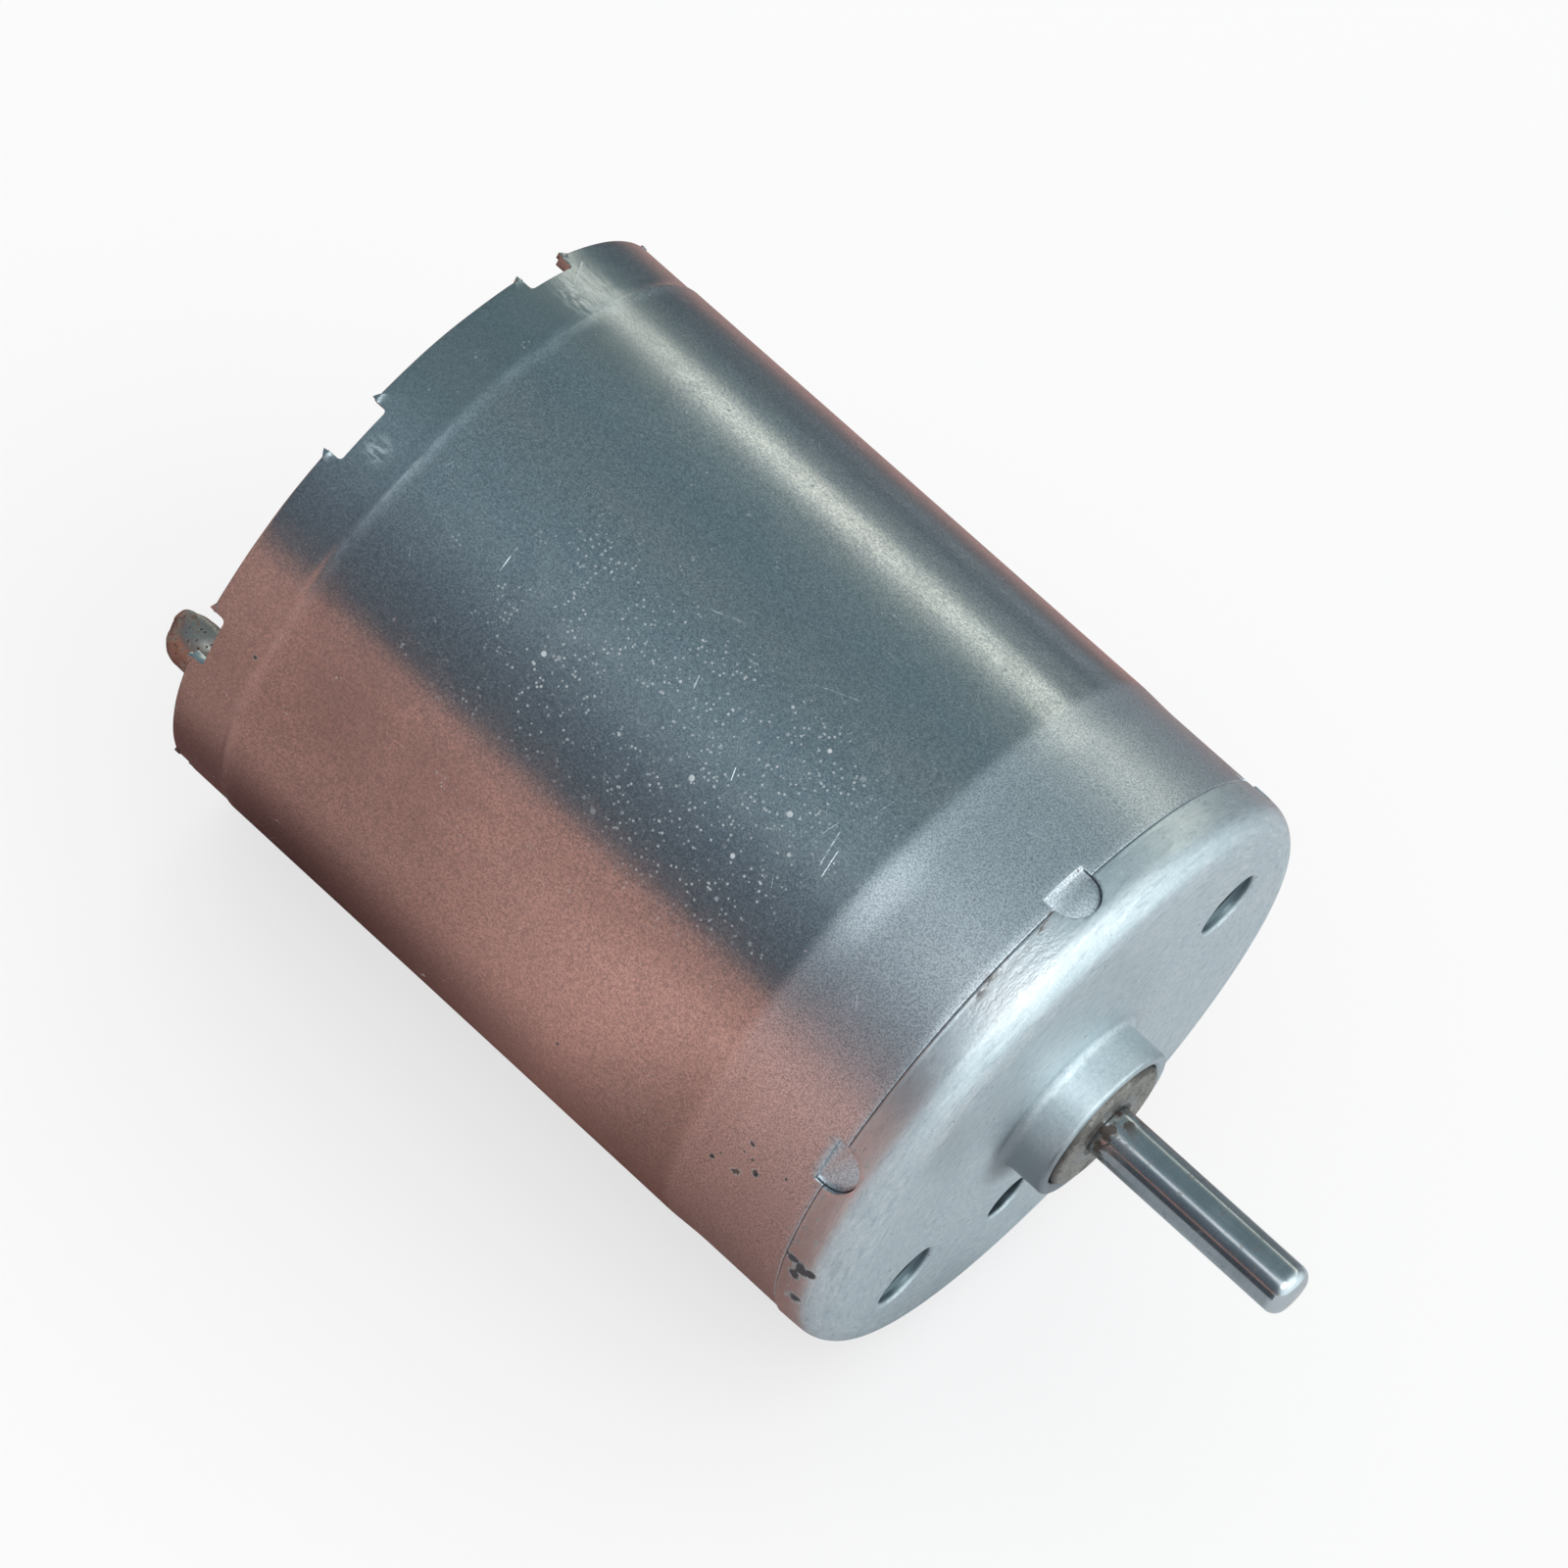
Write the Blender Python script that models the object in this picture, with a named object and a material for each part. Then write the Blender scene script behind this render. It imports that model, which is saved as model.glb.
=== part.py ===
"""Small round brushed DC motor, 24.4 mm in diameter.

A drawn steel tube is closed at the front by a drawn steel cap that carries the
bearing boss and the mounting holes, and at the rear by a nylon end bell that
carries the rear bearing, the brushes and the terminals. A three-pole armature
turns between two ferrite arc magnets.

Frame: the origin is the centre of the free end of the shaft. +X runs along the
shaft, out of the front, and +Z is up. Lengths are in millimetres and are turned
into metres where the meshes are made. Distances along X are given from the front
mounting face: everything hangs from an empty on that face, which lies one shaft
length behind the origin. Angles are in degrees about +X, from +Y towards +Z.
Pairs named _X are (rear, front), and pairs named _R are (inner, outer).
"""

from math import acos, atan2, cos, degrees, radians, sin, sqrt

import bmesh
import bpy
from mathutils import Matrix, Vector

MM = 0.001
ORIGIN = (0, 0, 0)

# ---- driving dimensions -------------------------------------------------------

# steel tube
CAN_R = 12.2             # outer radius of the main length
CAN_BORE_R = 11.3        # bore that holds the magnets
CAN_EDGE = 0.08          # chamfer on the outer edges
RIM_X = -31.4            # rear rim
SEAM_X = -2.3            # front edge of the tube, where the cap's lip starts
REAR_SEAT_DEPTH = 2.43   # counterbore for the end bell
REAR_SEAT_R = 11.7
REAR_BAND_R = 12.14      # outside of the swaged band over that seat
BAND_STEP_X = 0.1        # half the length of the slope beside that band
FRONT_TAPER_X = (-7.5, -5.9)
FRONT_BAND_R = 12.13
RIM_NOTCHES = 8
RIM_NOTCH_WIDTH = 2.3
RIM_NOTCH_DEPTH = 0.6
RIM_NOTCH_AT = 126.0     # angle of the first notch
RIM_LUG_INNER_R = 10.95
RIM_LUG_THICK = 0.46
RIM_LUG_WIDTH = 2.0

# staked tongues that lock the tube to the cap
TONGUES = 6
TONGUE_AT = 105.0
TONGUE_WIDTH = 1.9
TONGUE_X = (-2.65, -1.35)      # flat side and rounded tip
TONGUE_ROOT = 0.4              # the tongue starts this far inside the tube's wall
TONGUE_R = (11.42, 11.9)

# front cap
CAP_R = CAN_R
CAP_LIP_X = SEAM_X + 0.12
CAP_LIP_EDGE = 0.06
CAP_ROUND = 1.35               # outer rounding of the shoulder
CAP_THICK = 1.0                # face thickness
CAP_SKIRT_R = (10.3, 11.2)
CAP_SKIRT_X = -6.2
BOSS_R = 3.2
BOSS_HEIGHT = 1.75
BOSS_FILLET = 0.4
BOSS_EDGE = 0.15
BOSS_BORE_R = 2.72
MOUNT_PCD = 17.0
MOUNT_HOLE_R = 1.25
MOUNT_MOUTH_R = 1.5
MOUNT_AT = 45.0
AUX_HOLE_R = 0.93
AUX_MOUTH_R = AUX_HOLE_R + 0.12
AUX_DISTANCE = 6.5
AUX_AT = 270.0

# bearings and shaft
SHAFT_R = 1.0
SHAFT_X = (-31.7, 10.6)
SHAFT_TAIL_EDGE = 0.15
RUN_R = 1.05                   # bores that the shaft turns in, or that sit on it

# magnets and the hairpin clips between them
MAGNET_R = (8.2, 11.2)
MAGNET_X = (-25.8, -6.6)
MAGNET_SPAN = 128.0
MAGNET_AT = 15.0               # angle of the first gap between the magnets
CLIP_X = MAGNET_X[0] + 3.0
CLIP_R = (8.9, 10.5)
CLIP_LENGTH = 15.0
CLIP_LEG = 3.7                 # half the width over the legs
CLIP_WIRE = 0.7

# armature
CORE_X = (-20.5, -9.5)
CORE_R = 7.85
CORE_HUB_R = 2.5
POLES = 3
POLE_SHOE_SPAN = 104.0
POLE_SHOE_THICK = 1.25
ARM_WIDTH = 2.4
CARD_THICK = 0.4
CARD_GAP = 0.05
CARD_INSET = 0.5               # the card's shoes are smaller and thinner by this
CARD_SPAN_LOSS = 8.0
COIL_R = (3.2, 5.75)
COIL_GROWTH = 2.4              # thickness of the winding beside the arm

# commutator
COMM_R = (1.7, 2.5)
COMM_X = (-28.4, -25.3)
SEGMENT_SPAN = 112.0
SEGMENT_AT = 180 / POLES       # the segments are centred between the poles
RISER_X = (COMM_X[1] - 0.55, COMM_X[1] - 0.02)
RISER_R = (COMM_R[1] - 0.3, 3.45)
RISER_WIDTH = 0.9
HUB_X = (-28.7, -21.2)
HUB_R = 1.62
HUB_FLANGE_R = 2.9
VARISTOR_X = (-24.6, -23.6)
VARISTOR_R = (2.15, 4.2)

# end bell
BELL_R = 11.55
BELL_X = (-30.25, -29.05)
BELL_EDGE = 0.25
BELL_BOSS_R = 3.6
BELL_BOSS_X = -32.4
BELL_FILLET = 0.3
BELL_BORE_R = 2.08
SPIGOT_R = (10.2, 11.15)
SPIGOT_X = -26.4               # front end of the spigot
SLOT_CLEARANCE = 0.12          # around each terminal
VENT_R = (5.2, 8.0)
VENT_SPAN = 48.0

# terminals and brushes
TERMINAL_R = 9.35              # distance of the strip's inner face from the axis
TERMINAL_THICK = 0.4
TERMINAL_WIDTH = 2.0
TERMINAL_X = (-33.85, -26.6)
TERMINAL_AT = 192.0
SOLDER_SIZE = (1.9, 1.85, 0.9)    # length, width, height
LEAF_THICK = 0.2
LEAF_X = (-28.0, -25.8)
LEAF_R = TERMINAL_R - 0.08     # distance of the part beside the terminal
CONTACT_R = 3.9                # the leaf's straight part is tangent to this circle
LEAF_OVERRUN = 1.8             # length past the tangent point
BRUSH_X = (-27.7, -26.1)
BRUSH_WIDTH = 1.6
BRUSH_GAP = 0.04
DAMPER_X = (-27.8, -26.0)
DAMPER_WIDTH = 2.2
DAMPER_R = (CONTACT_R + 0.05, CONTACT_R + 0.85)


# ---- start from an empty file ---------------------------------------------------

for old in list(bpy.data.objects):
    bpy.data.objects.remove(old, do_unlink=True)

SCENE = bpy.context.scene.collection


# ---- materials --------------------------------------------------------------------

def finish(name, color, roughness, metallic=0.0):
    material = bpy.data.materials.new(name)
    material.use_nodes = True
    shader = material.node_tree.nodes["Principled BSDF"]
    shader.inputs["Base Color"].default_value = (*color, 1.0)
    shader.inputs["Roughness"].default_value = roughness
    shader.inputs["Metallic"].default_value = metallic
    material.diffuse_color = (*color, 1.0)
    return material


def metal(name, color, roughness):
    return finish(name, color, roughness, metallic=1.0)


STEEL_TUBE = metal("plated_steel_tube", color=(0.36, 0.43, 0.48), roughness=0.34)
STEEL_CAP = metal("plated_steel_cap", color=(0.60, 0.67, 0.70), roughness=0.36)
BRONZE = metal("sintered_bronze", color=(0.36, 0.26, 0.17), roughness=0.55)
SHAFT_STEEL = metal("ground_steel", color=(0.42, 0.44, 0.46), roughness=0.18)
FERRITE = finish("ferrite", color=(0.07, 0.07, 0.075), roughness=0.70)
SPRING_STEEL = metal("spring_steel", color=(0.50, 0.50, 0.50), roughness=0.30)
NYLON_BLACK = finish("black_nylon", color=(0.03, 0.03, 0.032), roughness=0.50)
NYLON_WHITE = finish("white_nylon", color=(0.78, 0.76, 0.70), roughness=0.55)
TINNED = metal("tinned_brass", color=(0.66, 0.60, 0.46), roughness=0.32)
SOLDER = metal("solder", color=(0.42, 0.40, 0.36), roughness=0.42)
PHOSPHOR = metal("phosphor_bronze", color=(0.68, 0.42, 0.24), roughness=0.30)
CARBON = finish("carbon_brush", color=(0.05, 0.05, 0.05), roughness=0.75)
RUBBER = finish("damper_rubber", color=(0.10, 0.10, 0.10), roughness=0.85)
LAMINATION = metal("silicon_steel", color=(0.30, 0.31, 0.33), roughness=0.45)
INSULATOR = finish("insulator_fibre", color=(0.20, 0.42, 0.30), roughness=0.60)
MAGNET_WIRE = metal("enamelled_copper", color=(0.62, 0.22, 0.08), roughness=0.28)
COPPER = metal("commutator_copper", color=(0.80, 0.42, 0.28), roughness=0.25)
CERAMIC = finish("varistor_ceramic", color=(0.16, 0.20, 0.24), roughness=0.50)
FIBRE = finish("fibre_washer", color=(0.55, 0.42, 0.24), roughness=0.70)
BRASS = metal("brass_spacer", color=(0.72, 0.56, 0.28), roughness=0.30)

# (name, rear x, front x, outer radius, segments, chamfer, material, turns with the rotor)
BUSHES = (
    ("front_bearing", -1.5, 1.9, 2.64, 32, 0.12, BRONZE, False),
    ("rear_bearing", -32.2, -29.5, 2.0, 32, 0.12, BRONZE, False),
    ("front_thrust_washer", -2.05, -1.65, 2.1, 24, 0.05, FIBRE, True),
    ("front_spacer", -8.4, -2.2, 1.6, 24, 0.08, BRASS, True),
    ("rear_thrust_washer", -29.35, -28.95, 1.85, 24, 0.05, FIBRE, True),
)


# ---- objects ------------------------------------------------------------------------

def add_empty(name):
    empty = bpy.data.objects.new(name, None)
    empty.empty_display_size = 5 * MM
    SCENE.objects.link(empty)
    return empty


# the front mounting face, from which every X is counted
FACE = add_empty("mounting_face")
FACE.location = (-SHAFT_X[1] * MM, 0, 0)

# everything that turns hangs from this empty on the shaft axis
ROTOR = add_empty("rotor_axis")
ROTOR.parent = FACE


def place(name, mesh, at=ORIGIN, turn=0.0, rotor=False):
    """An object of this mesh, at a point in millimetres, turned about its own X axis."""
    obj = bpy.data.objects.new(name, mesh)
    SCENE.objects.link(obj)
    obj.location = Vector(at) * MM
    obj.rotation_euler = (radians(turn), 0.0, 0.0)
    obj.parent = ROTOR if rotor else FACE
    return obj


def to_mesh(name, form):
    """Turns a bmesh in millimetres into a mesh in metres."""
    bmesh.ops.recalc_face_normals(form, faces=form.faces)
    for vert in form.verts:
        vert.co = vert.co * MM
    mesh = bpy.data.meshes.new(name)
    form.to_mesh(mesh)
    form.free()
    return mesh


def add(name, form, material, at=ORIGIN, turn=0.0, rotor=False):
    mesh = to_mesh(name, form)
    mesh.materials.append(material)
    mesh.shade_smooth()
    mesh.set_sharp_from_angle(angle=radians(35))
    return place(name, mesh, at, turn, rotor)


def add_around(name, marks, form, material, at=ORIGIN, turn=0.0, rotor=False):
    """One object for each mark, sharing a mesh and evenly spaced about the X axis."""
    copies = [add(f"{name}_{marks[0]}", form, material, at, turn, rotor)]
    for i, mark in enumerate(marks[1:], 1):
        angle = turn + 360 / len(marks) * i
        copies.append(place(f"{name}_{mark}", copies[0].data, at, angle, rotor))
    return copies


def add_helper(name, form, at=ORIGIN, rotor=False):
    """A hidden body for the boolean modifiers."""
    obj = place(name, to_mesh(name, form), at, rotor=rotor)
    obj.hide_render = True
    obj.display_type = "WIRE"
    return obj


def boolean(obj, helper, operation):
    modifier = obj.modifiers.new(operation.lower(), "BOOLEAN")
    modifier.operation = operation
    modifier.solver = "EXACT"
    modifier.object = helper


def cut(obj, helper):
    boolean(obj, helper, "DIFFERENCE")


def join(obj, helper):
    boolean(obj, helper, "UNION")


# ---- outlines -------------------------------------------------------------------------

def polar(radius, angle):
    return (radius * cos(radians(angle)), radius * sin(radians(angle)))


def arc(centre_u, centre_v, radius, start, end, steps):
    """Points on an arc. In an (x, radius) profile, 0 is +X and 90 is outwards."""
    points = []
    for i in range(steps + 1):
        u, v = polar(radius, start + (end - start) * i / steps)
        points.append((centre_u + u, centre_v + v))
    return points


def sector(radii, span, steps):
    """An arc of a ring, centred on the first axis."""
    inner, outer = radii
    return (arc(0, 0, outer, -span / 2, span / 2, steps)
            + arc(0, 0, inner, span / 2, -span / 2, steps))


def rounded_rectangle(half_u, half_v, radius, steps):
    points = []
    for side_u, side_v, start in ((1, 1, 0), (-1, 1, 90), (-1, -1, 180), (1, -1, 270)):
        centre_u = side_u * (half_u - radius)
        centre_v = side_v * (half_v - radius)
        points += arc(centre_u, centre_v, radius, start, start + 90, steps)
    return points


def d_outline(back, tip, half_width, steps=6):
    """A D: flat across the back, rounded at the tip."""
    depth = min(half_width, (tip - back) * 0.75)
    points = [(back, half_width), (back, -half_width)]
    for u, v in arc(0, 0, 1, -90, 90, steps):
        points.append((tip - depth + depth * u, half_width * v))
    return points


# ---- solids -----------------------------------------------------------------------------

# axes of a cross-section: u is Y, v is Z, and the prism runs along X
SECTION = Matrix(((0, 0, 1, 0), (1, 0, 0, 0), (0, 1, 0, 0), (0, 0, 0, 1)))


def outward(angle):
    """Axes on a radius: u along the shaft, v around it, and the prism runs outwards."""
    y, z = polar(1, angle)
    return Matrix(((1, 0, 0, 0), (0, -z, y, 0), (0, y, z, 0), (0, 0, 0, 1)))


def skin(rings, closed):
    """Faces between successive rings of points; a ring may be a single point."""
    form = bmesh.new()
    rings = [[form.verts.new(point) for point in ring] for ring in rings]
    following = rings[1:] + rings[:1] if closed else rings[1:]
    segments = max(len(ring) for ring in rings)
    for this, other in zip(rings, following):
        for i in range(segments):
            j = (i + 1) % segments
            if len(this) == 1:
                form.faces.new((this[0], other[j], other[i]))
            elif len(other) == 1:
                form.faces.new((this[i], this[j], other[0]))
            else:
                form.faces.new((this[i], this[j], other[j], other[i]))
    return form


def turned(profile, segments, closed=True):
    """A profile of (x, radius) points spun about the X axis. A closed profile is a
    ring, such as a bush; an open one starts and ends on the axis."""
    rings = []
    for x, radius in profile:
        count = segments if radius else 1
        rings.append([(x, *polar(radius, 360 * i / segments)) for i in range(count)])
    return skin(rings, closed)


def prism(outline, low, high, axes, into=None):
    """An outline of (u, v) points extruded from low to high along the third axis."""
    form = into or bmesh.new()
    bottom = [form.verts.new(axes @ Vector((u, v, low))) for u, v in outline]
    top = [form.verts.new(axes @ Vector((u, v, high))) for u, v in outline]
    form.faces.new(bottom[::-1])
    form.faces.new(top)
    for i in range(len(outline)):
        j = (i + 1) % len(outline)
        form.faces.new((bottom[i], bottom[j], top[j], top[i]))
    return form


def bar(x_range, width, radii, angle, into=None):
    """A block on a radius: x_range along the shaft, width around it, radii outwards."""
    rear, front = x_range
    half = width / 2
    outline = [(rear, -half), (front, -half), (front, half), (rear, half)]
    return prism(outline, *radii, outward(angle), into)


# ---- steel tube ---------------------------------------------------------------------------

def build_tube():
    seat_x = RIM_X + REAR_SEAT_DEPTH
    taper_back, taper_front = FRONT_TAPER_X
    tube = add("can_tube", turned([
        (RIM_X, REAR_BAND_R - CAN_EDGE), (RIM_X + CAN_EDGE, REAR_BAND_R),
        (seat_x - BAND_STEP_X, REAR_BAND_R), (seat_x + BAND_STEP_X, CAN_R),
        (taper_back, CAN_R), (taper_front, FRONT_BAND_R),
        (SEAM_X - CAN_EDGE, FRONT_BAND_R), (SEAM_X, FRONT_BAND_R - CAN_EDGE),
        (SEAM_X, CAN_BORE_R),
        (seat_x, CAN_BORE_R), (seat_x, REAR_SEAT_R), (RIM_X, REAR_SEAT_R),
    ], 72), STEEL_TUBE)

    # the metal of each notch is folded inwards over the end bell and holds it in
    notches = bmesh.new()
    lugs = bmesh.new()
    notch_end = RIM_X + RIM_NOTCH_DEPTH
    lug_radii = (RIM_LUG_INNER_R, (REAR_SEAT_R + REAR_BAND_R) / 2)
    for k in range(RIM_NOTCHES):
        angle = RIM_NOTCH_AT + 360 / RIM_NOTCHES * k
        bar((RIM_X - 1, notch_end), RIM_NOTCH_WIDTH, (CAN_BORE_R - 0.4, CAN_R + 1), angle, notches)
        bar((notch_end, notch_end + RIM_LUG_THICK), RIM_LUG_WIDTH, lug_radii, angle, lugs)
    cut(tube, add_helper("cut_rim_notches", notches))
    join(tube, add_helper("add_rim_lugs", lugs))

    # the tongues lie below the surface, so the tube is cut down to their level
    relief = bmesh.new()
    tongues = bmesh.new()
    back, tip = TONGUE_X
    outline = d_outline(back - TONGUE_ROOT, tip, TONGUE_WIDTH / 2 - 0.08)
    for k in range(TONGUES):
        angle = TONGUE_AT + 360 / TONGUES * k
        bar((back, SEAM_X + 1), TONGUE_WIDTH, (TONGUE_R[1], CAN_R + 1), angle, relief)
        prism(outline, *TONGUE_R, outward(angle), tongues)
    cut(tube, add_helper("cut_tongue_relief", relief))
    join(tube, add_helper("add_tongues", tongues))


# ---- front cap ------------------------------------------------------------------------------

def hole_cutter(name, radius, mouth_radius, distance, angle):
    """A hole through the face that widens to mouth_radius at the front."""
    flare = mouth_radius - radius
    profile = [
        (-3, 0), (-3, radius), (-flare, radius), (-0.3 * flare, radius + 0.3 * flare),
        (0, mouth_radius), (0.3, mouth_radius), (0.3, 0),
    ]
    return add_helper(name, turned(profile, 24, closed=False), at=(0, *polar(distance, angle)))


def build_cap():
    skirt_bore, skirt_r = CAP_SKIRT_R
    shoulder = arc(-CAP_ROUND, CAP_R - CAP_ROUND, CAP_ROUND, 90, 0, 5)
    fillet = arc(BOSS_FILLET, BOSS_R + BOSS_FILLET, BOSS_FILLET, 180, 270, 2)
    cap = add("front_cap", turned([
        (CAP_LIP_X, skirt_r), (CAP_LIP_X, CAP_R - CAP_LIP_EDGE), (CAP_LIP_X + CAP_LIP_EDGE, CAP_R),
        *shoulder,
        *fillet,
        (BOSS_HEIGHT - BOSS_EDGE, BOSS_R), (BOSS_HEIGHT, BOSS_R - BOSS_EDGE),
        (BOSS_HEIGHT, BOSS_BORE_R), (-CAP_THICK, BOSS_BORE_R),
        (-CAP_THICK, skirt_bore - 0.5), (-CAP_THICK - 0.5, skirt_bore),
        (CAP_SKIRT_X, skirt_bore), (CAP_SKIRT_X, skirt_r - 0.2), (CAP_SKIRT_X + 0.3, skirt_r),
    ], 60), STEEL_CAP)

    pockets = bmesh.new()
    outline = d_outline(SEAM_X - 1.2, TONGUE_X[1] + 0.12, TONGUE_WIDTH / 2 + 0.06)
    for k in range(TONGUES):
        axes = outward(TONGUE_AT + 360 / TONGUES * k)
        prism(outline, skirt_r - 0.02, CAN_R + 1, axes, pockets)
    cut(cap, add_helper("cut_tongue_pockets", pockets))

    for mark, angle in (("a", MOUNT_AT), ("b", MOUNT_AT + 180)):
        cut(cap, hole_cutter(f"cut_mount_hole_{mark}", MOUNT_HOLE_R, MOUNT_MOUTH_R,
                             MOUNT_PCD / 2, angle))
    cut(cap, hole_cutter("cut_aux_hole", AUX_HOLE_R, AUX_MOUTH_R, AUX_DISTANCE, AUX_AT))


# ---- bearings, shaft and what sits on it ------------------------------------------------------

def build_bushes():
    """Bushes whose own origin is the middle of the rear face."""
    for name, rear, front, radius, segments, chamfer, material, rotor in BUSHES:
        length = front - rear
        add(name, turned([
            (0, RUN_R), (0, radius - chamfer), (chamfer, radius),
            (length - chamfer, radius), (length, radius - chamfer), (length, RUN_R),
        ], segments), material, at=(rear, 0, 0), rotor=rotor)


def build_shaft():
    tail, tip = SHAFT_X
    add("shaft", turned([
        (tail, 0), (tail, SHAFT_R - SHAFT_TAIL_EDGE), (tail + SHAFT_TAIL_EDGE, SHAFT_R),
        # rounded tip
        (tip - 0.45, SHAFT_R), (tip - 0.22, SHAFT_R - 0.06),
        (tip - 0.06, SHAFT_R - 0.22), (tip, SHAFT_R - 0.45), (tip, 0),
    ], 32, closed=False), SHAFT_STEEL, rotor=True)


# ---- magnets and clips --------------------------------------------------------------------------

def build_magnets():
    rear, front = MAGNET_X
    magnet = prism(sector(MAGNET_R, MAGNET_SPAN, 20), 0, front - rear, SECTION)
    add_around("magnet", "ab", magnet, FERRITE, at=(rear, 0, 0), turn=MAGNET_AT + 90)


def build_clips():
    """A hairpin of flat wire: two legs along the shaft, joined by a bend at the rear."""
    bend_x, bend_inner, bend_outer = 1.9, 1.5, 2.2
    leg_in = CLIP_LEG - CLIP_WIRE
    neck_in = (3.4, CLIP_LEG - 1.75)
    neck_out = (3.2, CLIP_LEG - 0.9)
    outline = [
        (CLIP_LENGTH, CLIP_LEG), (CLIP_LENGTH, leg_in), neck_in,
        *arc(bend_x, 0, bend_inner, 75, 285, 7),
        (neck_in[0], -neck_in[1]), (CLIP_LENGTH, -leg_in), (CLIP_LENGTH, -CLIP_LEG),
        (neck_out[0], -neck_out[1]),
        *arc(bend_x, 0, bend_outer, 285, 75, 7),
        neck_out,
    ]
    clip = prism(outline, *CLIP_R, outward(0))
    add_around("magnet_clip", "ab", clip, SPRING_STEEL, at=(CLIP_X, 0, 0), turn=MAGNET_AT)


# ---- armature -------------------------------------------------------------------------------------

def star(arm_half, shoe_r, shoe_thick, shoe_span):
    """Cross-section of the core: for each pole, an arm that ends in a curved shoe."""
    inner_r = shoe_r - shoe_thick
    half = shoe_span / 2
    side = [
        (sqrt(CORE_HUB_R ** 2 - arm_half ** 2), arm_half),
        (inner_r - 0.35, arm_half),
        polar(inner_r, half * 0.45),
        polar(inner_r + 0.55, half),
    ]
    pole = [(out, -across) for out, across in side]
    pole += arc(0, 0, shoe_r, -half, half, 10)
    pole += side[::-1]
    pole.append(polar(CORE_HUB_R, 180 / POLES))    # on the hub, midway to the next pole

    points = []
    for k in range(POLES):
        y, z = polar(1, 360 / POLES * k)
        points += [(out * y - across * z, out * z + across * y) for out, across in pole]
    return points


def build_core():
    rear, front = CORE_X
    bore_profile = [(-40, 0), (-40, RUN_R), (5, RUN_R), (5, 0)]
    bore = add_helper("cut_shaft_bore", turned(bore_profile, 24, closed=False))

    outline = star(ARM_WIDTH / 2, CORE_R, POLE_SHOE_THICK, POLE_SHOE_SPAN)
    card = star(ARM_WIDTH / 2 + 0.05, CORE_R - CARD_INSET, POLE_SHOE_THICK - CARD_INSET,
                POLE_SHOE_SPAN - CARD_SPAN_LOSS)
    # name, outline, rear face, thickness, material
    for name, shape, x, thick, material in (
        ("armature_core", outline, rear, front - rear, LAMINATION),
        ("insulator_rear", card, rear - CARD_GAP - CARD_THICK, CARD_THICK, INSULATOR),
        ("insulator_front", card, front + CARD_GAP, CARD_THICK, INSULATOR),
    ):
        plate = add(name, prism(shape, 0, thick, SECTION), material, at=(x, 0, 0), rotor=True)
        cut(plate, bore)


def build_coils():
    """Each coil is a rounded ring around its arm, fuller in the middle of its height."""
    half_x = (CORE_X[1] - CORE_X[0]) / 2 + CARD_GAP + CARD_THICK + 0.12
    half_z = ARM_WIDTH / 2 + 0.17
    low, high = COIL_R
    # (height above the axis, share of the full growth)
    stations = [
        (low, 0.0), (low, 0.62), (low + 0.6, 0.92),
        (high - 0.7, 1.0), (high - 0.12, 0.72), (high, 0.3), (high, 0.0),
    ]
    rings = []
    for y, share in stations:
        growth = COIL_GROWTH * share
        outline = rounded_rectangle(half_x + growth, half_z + growth, 0.35 + growth * 0.9, 4)
        rings.append([(x, y, z) for x, z in outline])
    middle = (CORE_X[0] + CORE_X[1]) / 2
    coil = skin(rings, closed=True)
    add_around("coil", "123", coil, MAGNET_WIRE, at=(middle, 0, 0), rotor=True)


# ---- commutator -------------------------------------------------------------------------------------

def build_commutator():
    flange_rear = COMM_X[1] + 0.05
    flange_front = VARISTOR_X[0] - 0.1
    sleeve_r = VARISTOR_R[0] - 0.08
    add("commutator_hub", turned([
        (HUB_X[0], RUN_R), (HUB_X[0], HUB_R), (flange_rear, HUB_R), (flange_rear, HUB_FLANGE_R),
        (flange_front, HUB_FLANGE_R), (flange_front, sleeve_r),
        (HUB_X[1], sleeve_r), (HUB_X[1], RUN_R),
    ], 30), NYLON_WHITE, rotor=True)

    segment = prism(sector(COMM_R, SEGMENT_SPAN, 10), 0, COMM_X[1] - COMM_X[0], SECTION)
    segments = add_around("commutator_segment", "123", segment, COPPER,
                          at=(COMM_X[0], 0, 0), turn=SEGMENT_AT, rotor=True)
    # each segment has a riser at its front end, where the coil ends are welded
    for i, piece in enumerate(segments):
        riser = bar(RISER_X, RISER_WIDTH, RISER_R, SEGMENT_AT + 360 / POLES * i)
        join(piece, add_helper(f"add_riser_{i + 1}", riser, rotor=True))


def build_varistor():
    rear, front = VARISTOR_X
    inner, outer = VARISTOR_R
    profile = [(rear, inner), (rear, outer), (front, outer), (front, inner)]
    add("varistor_ring", turned(profile, 32), CERAMIC, rotor=True)


# ---- end bell -----------------------------------------------------------------------------------------

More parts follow.
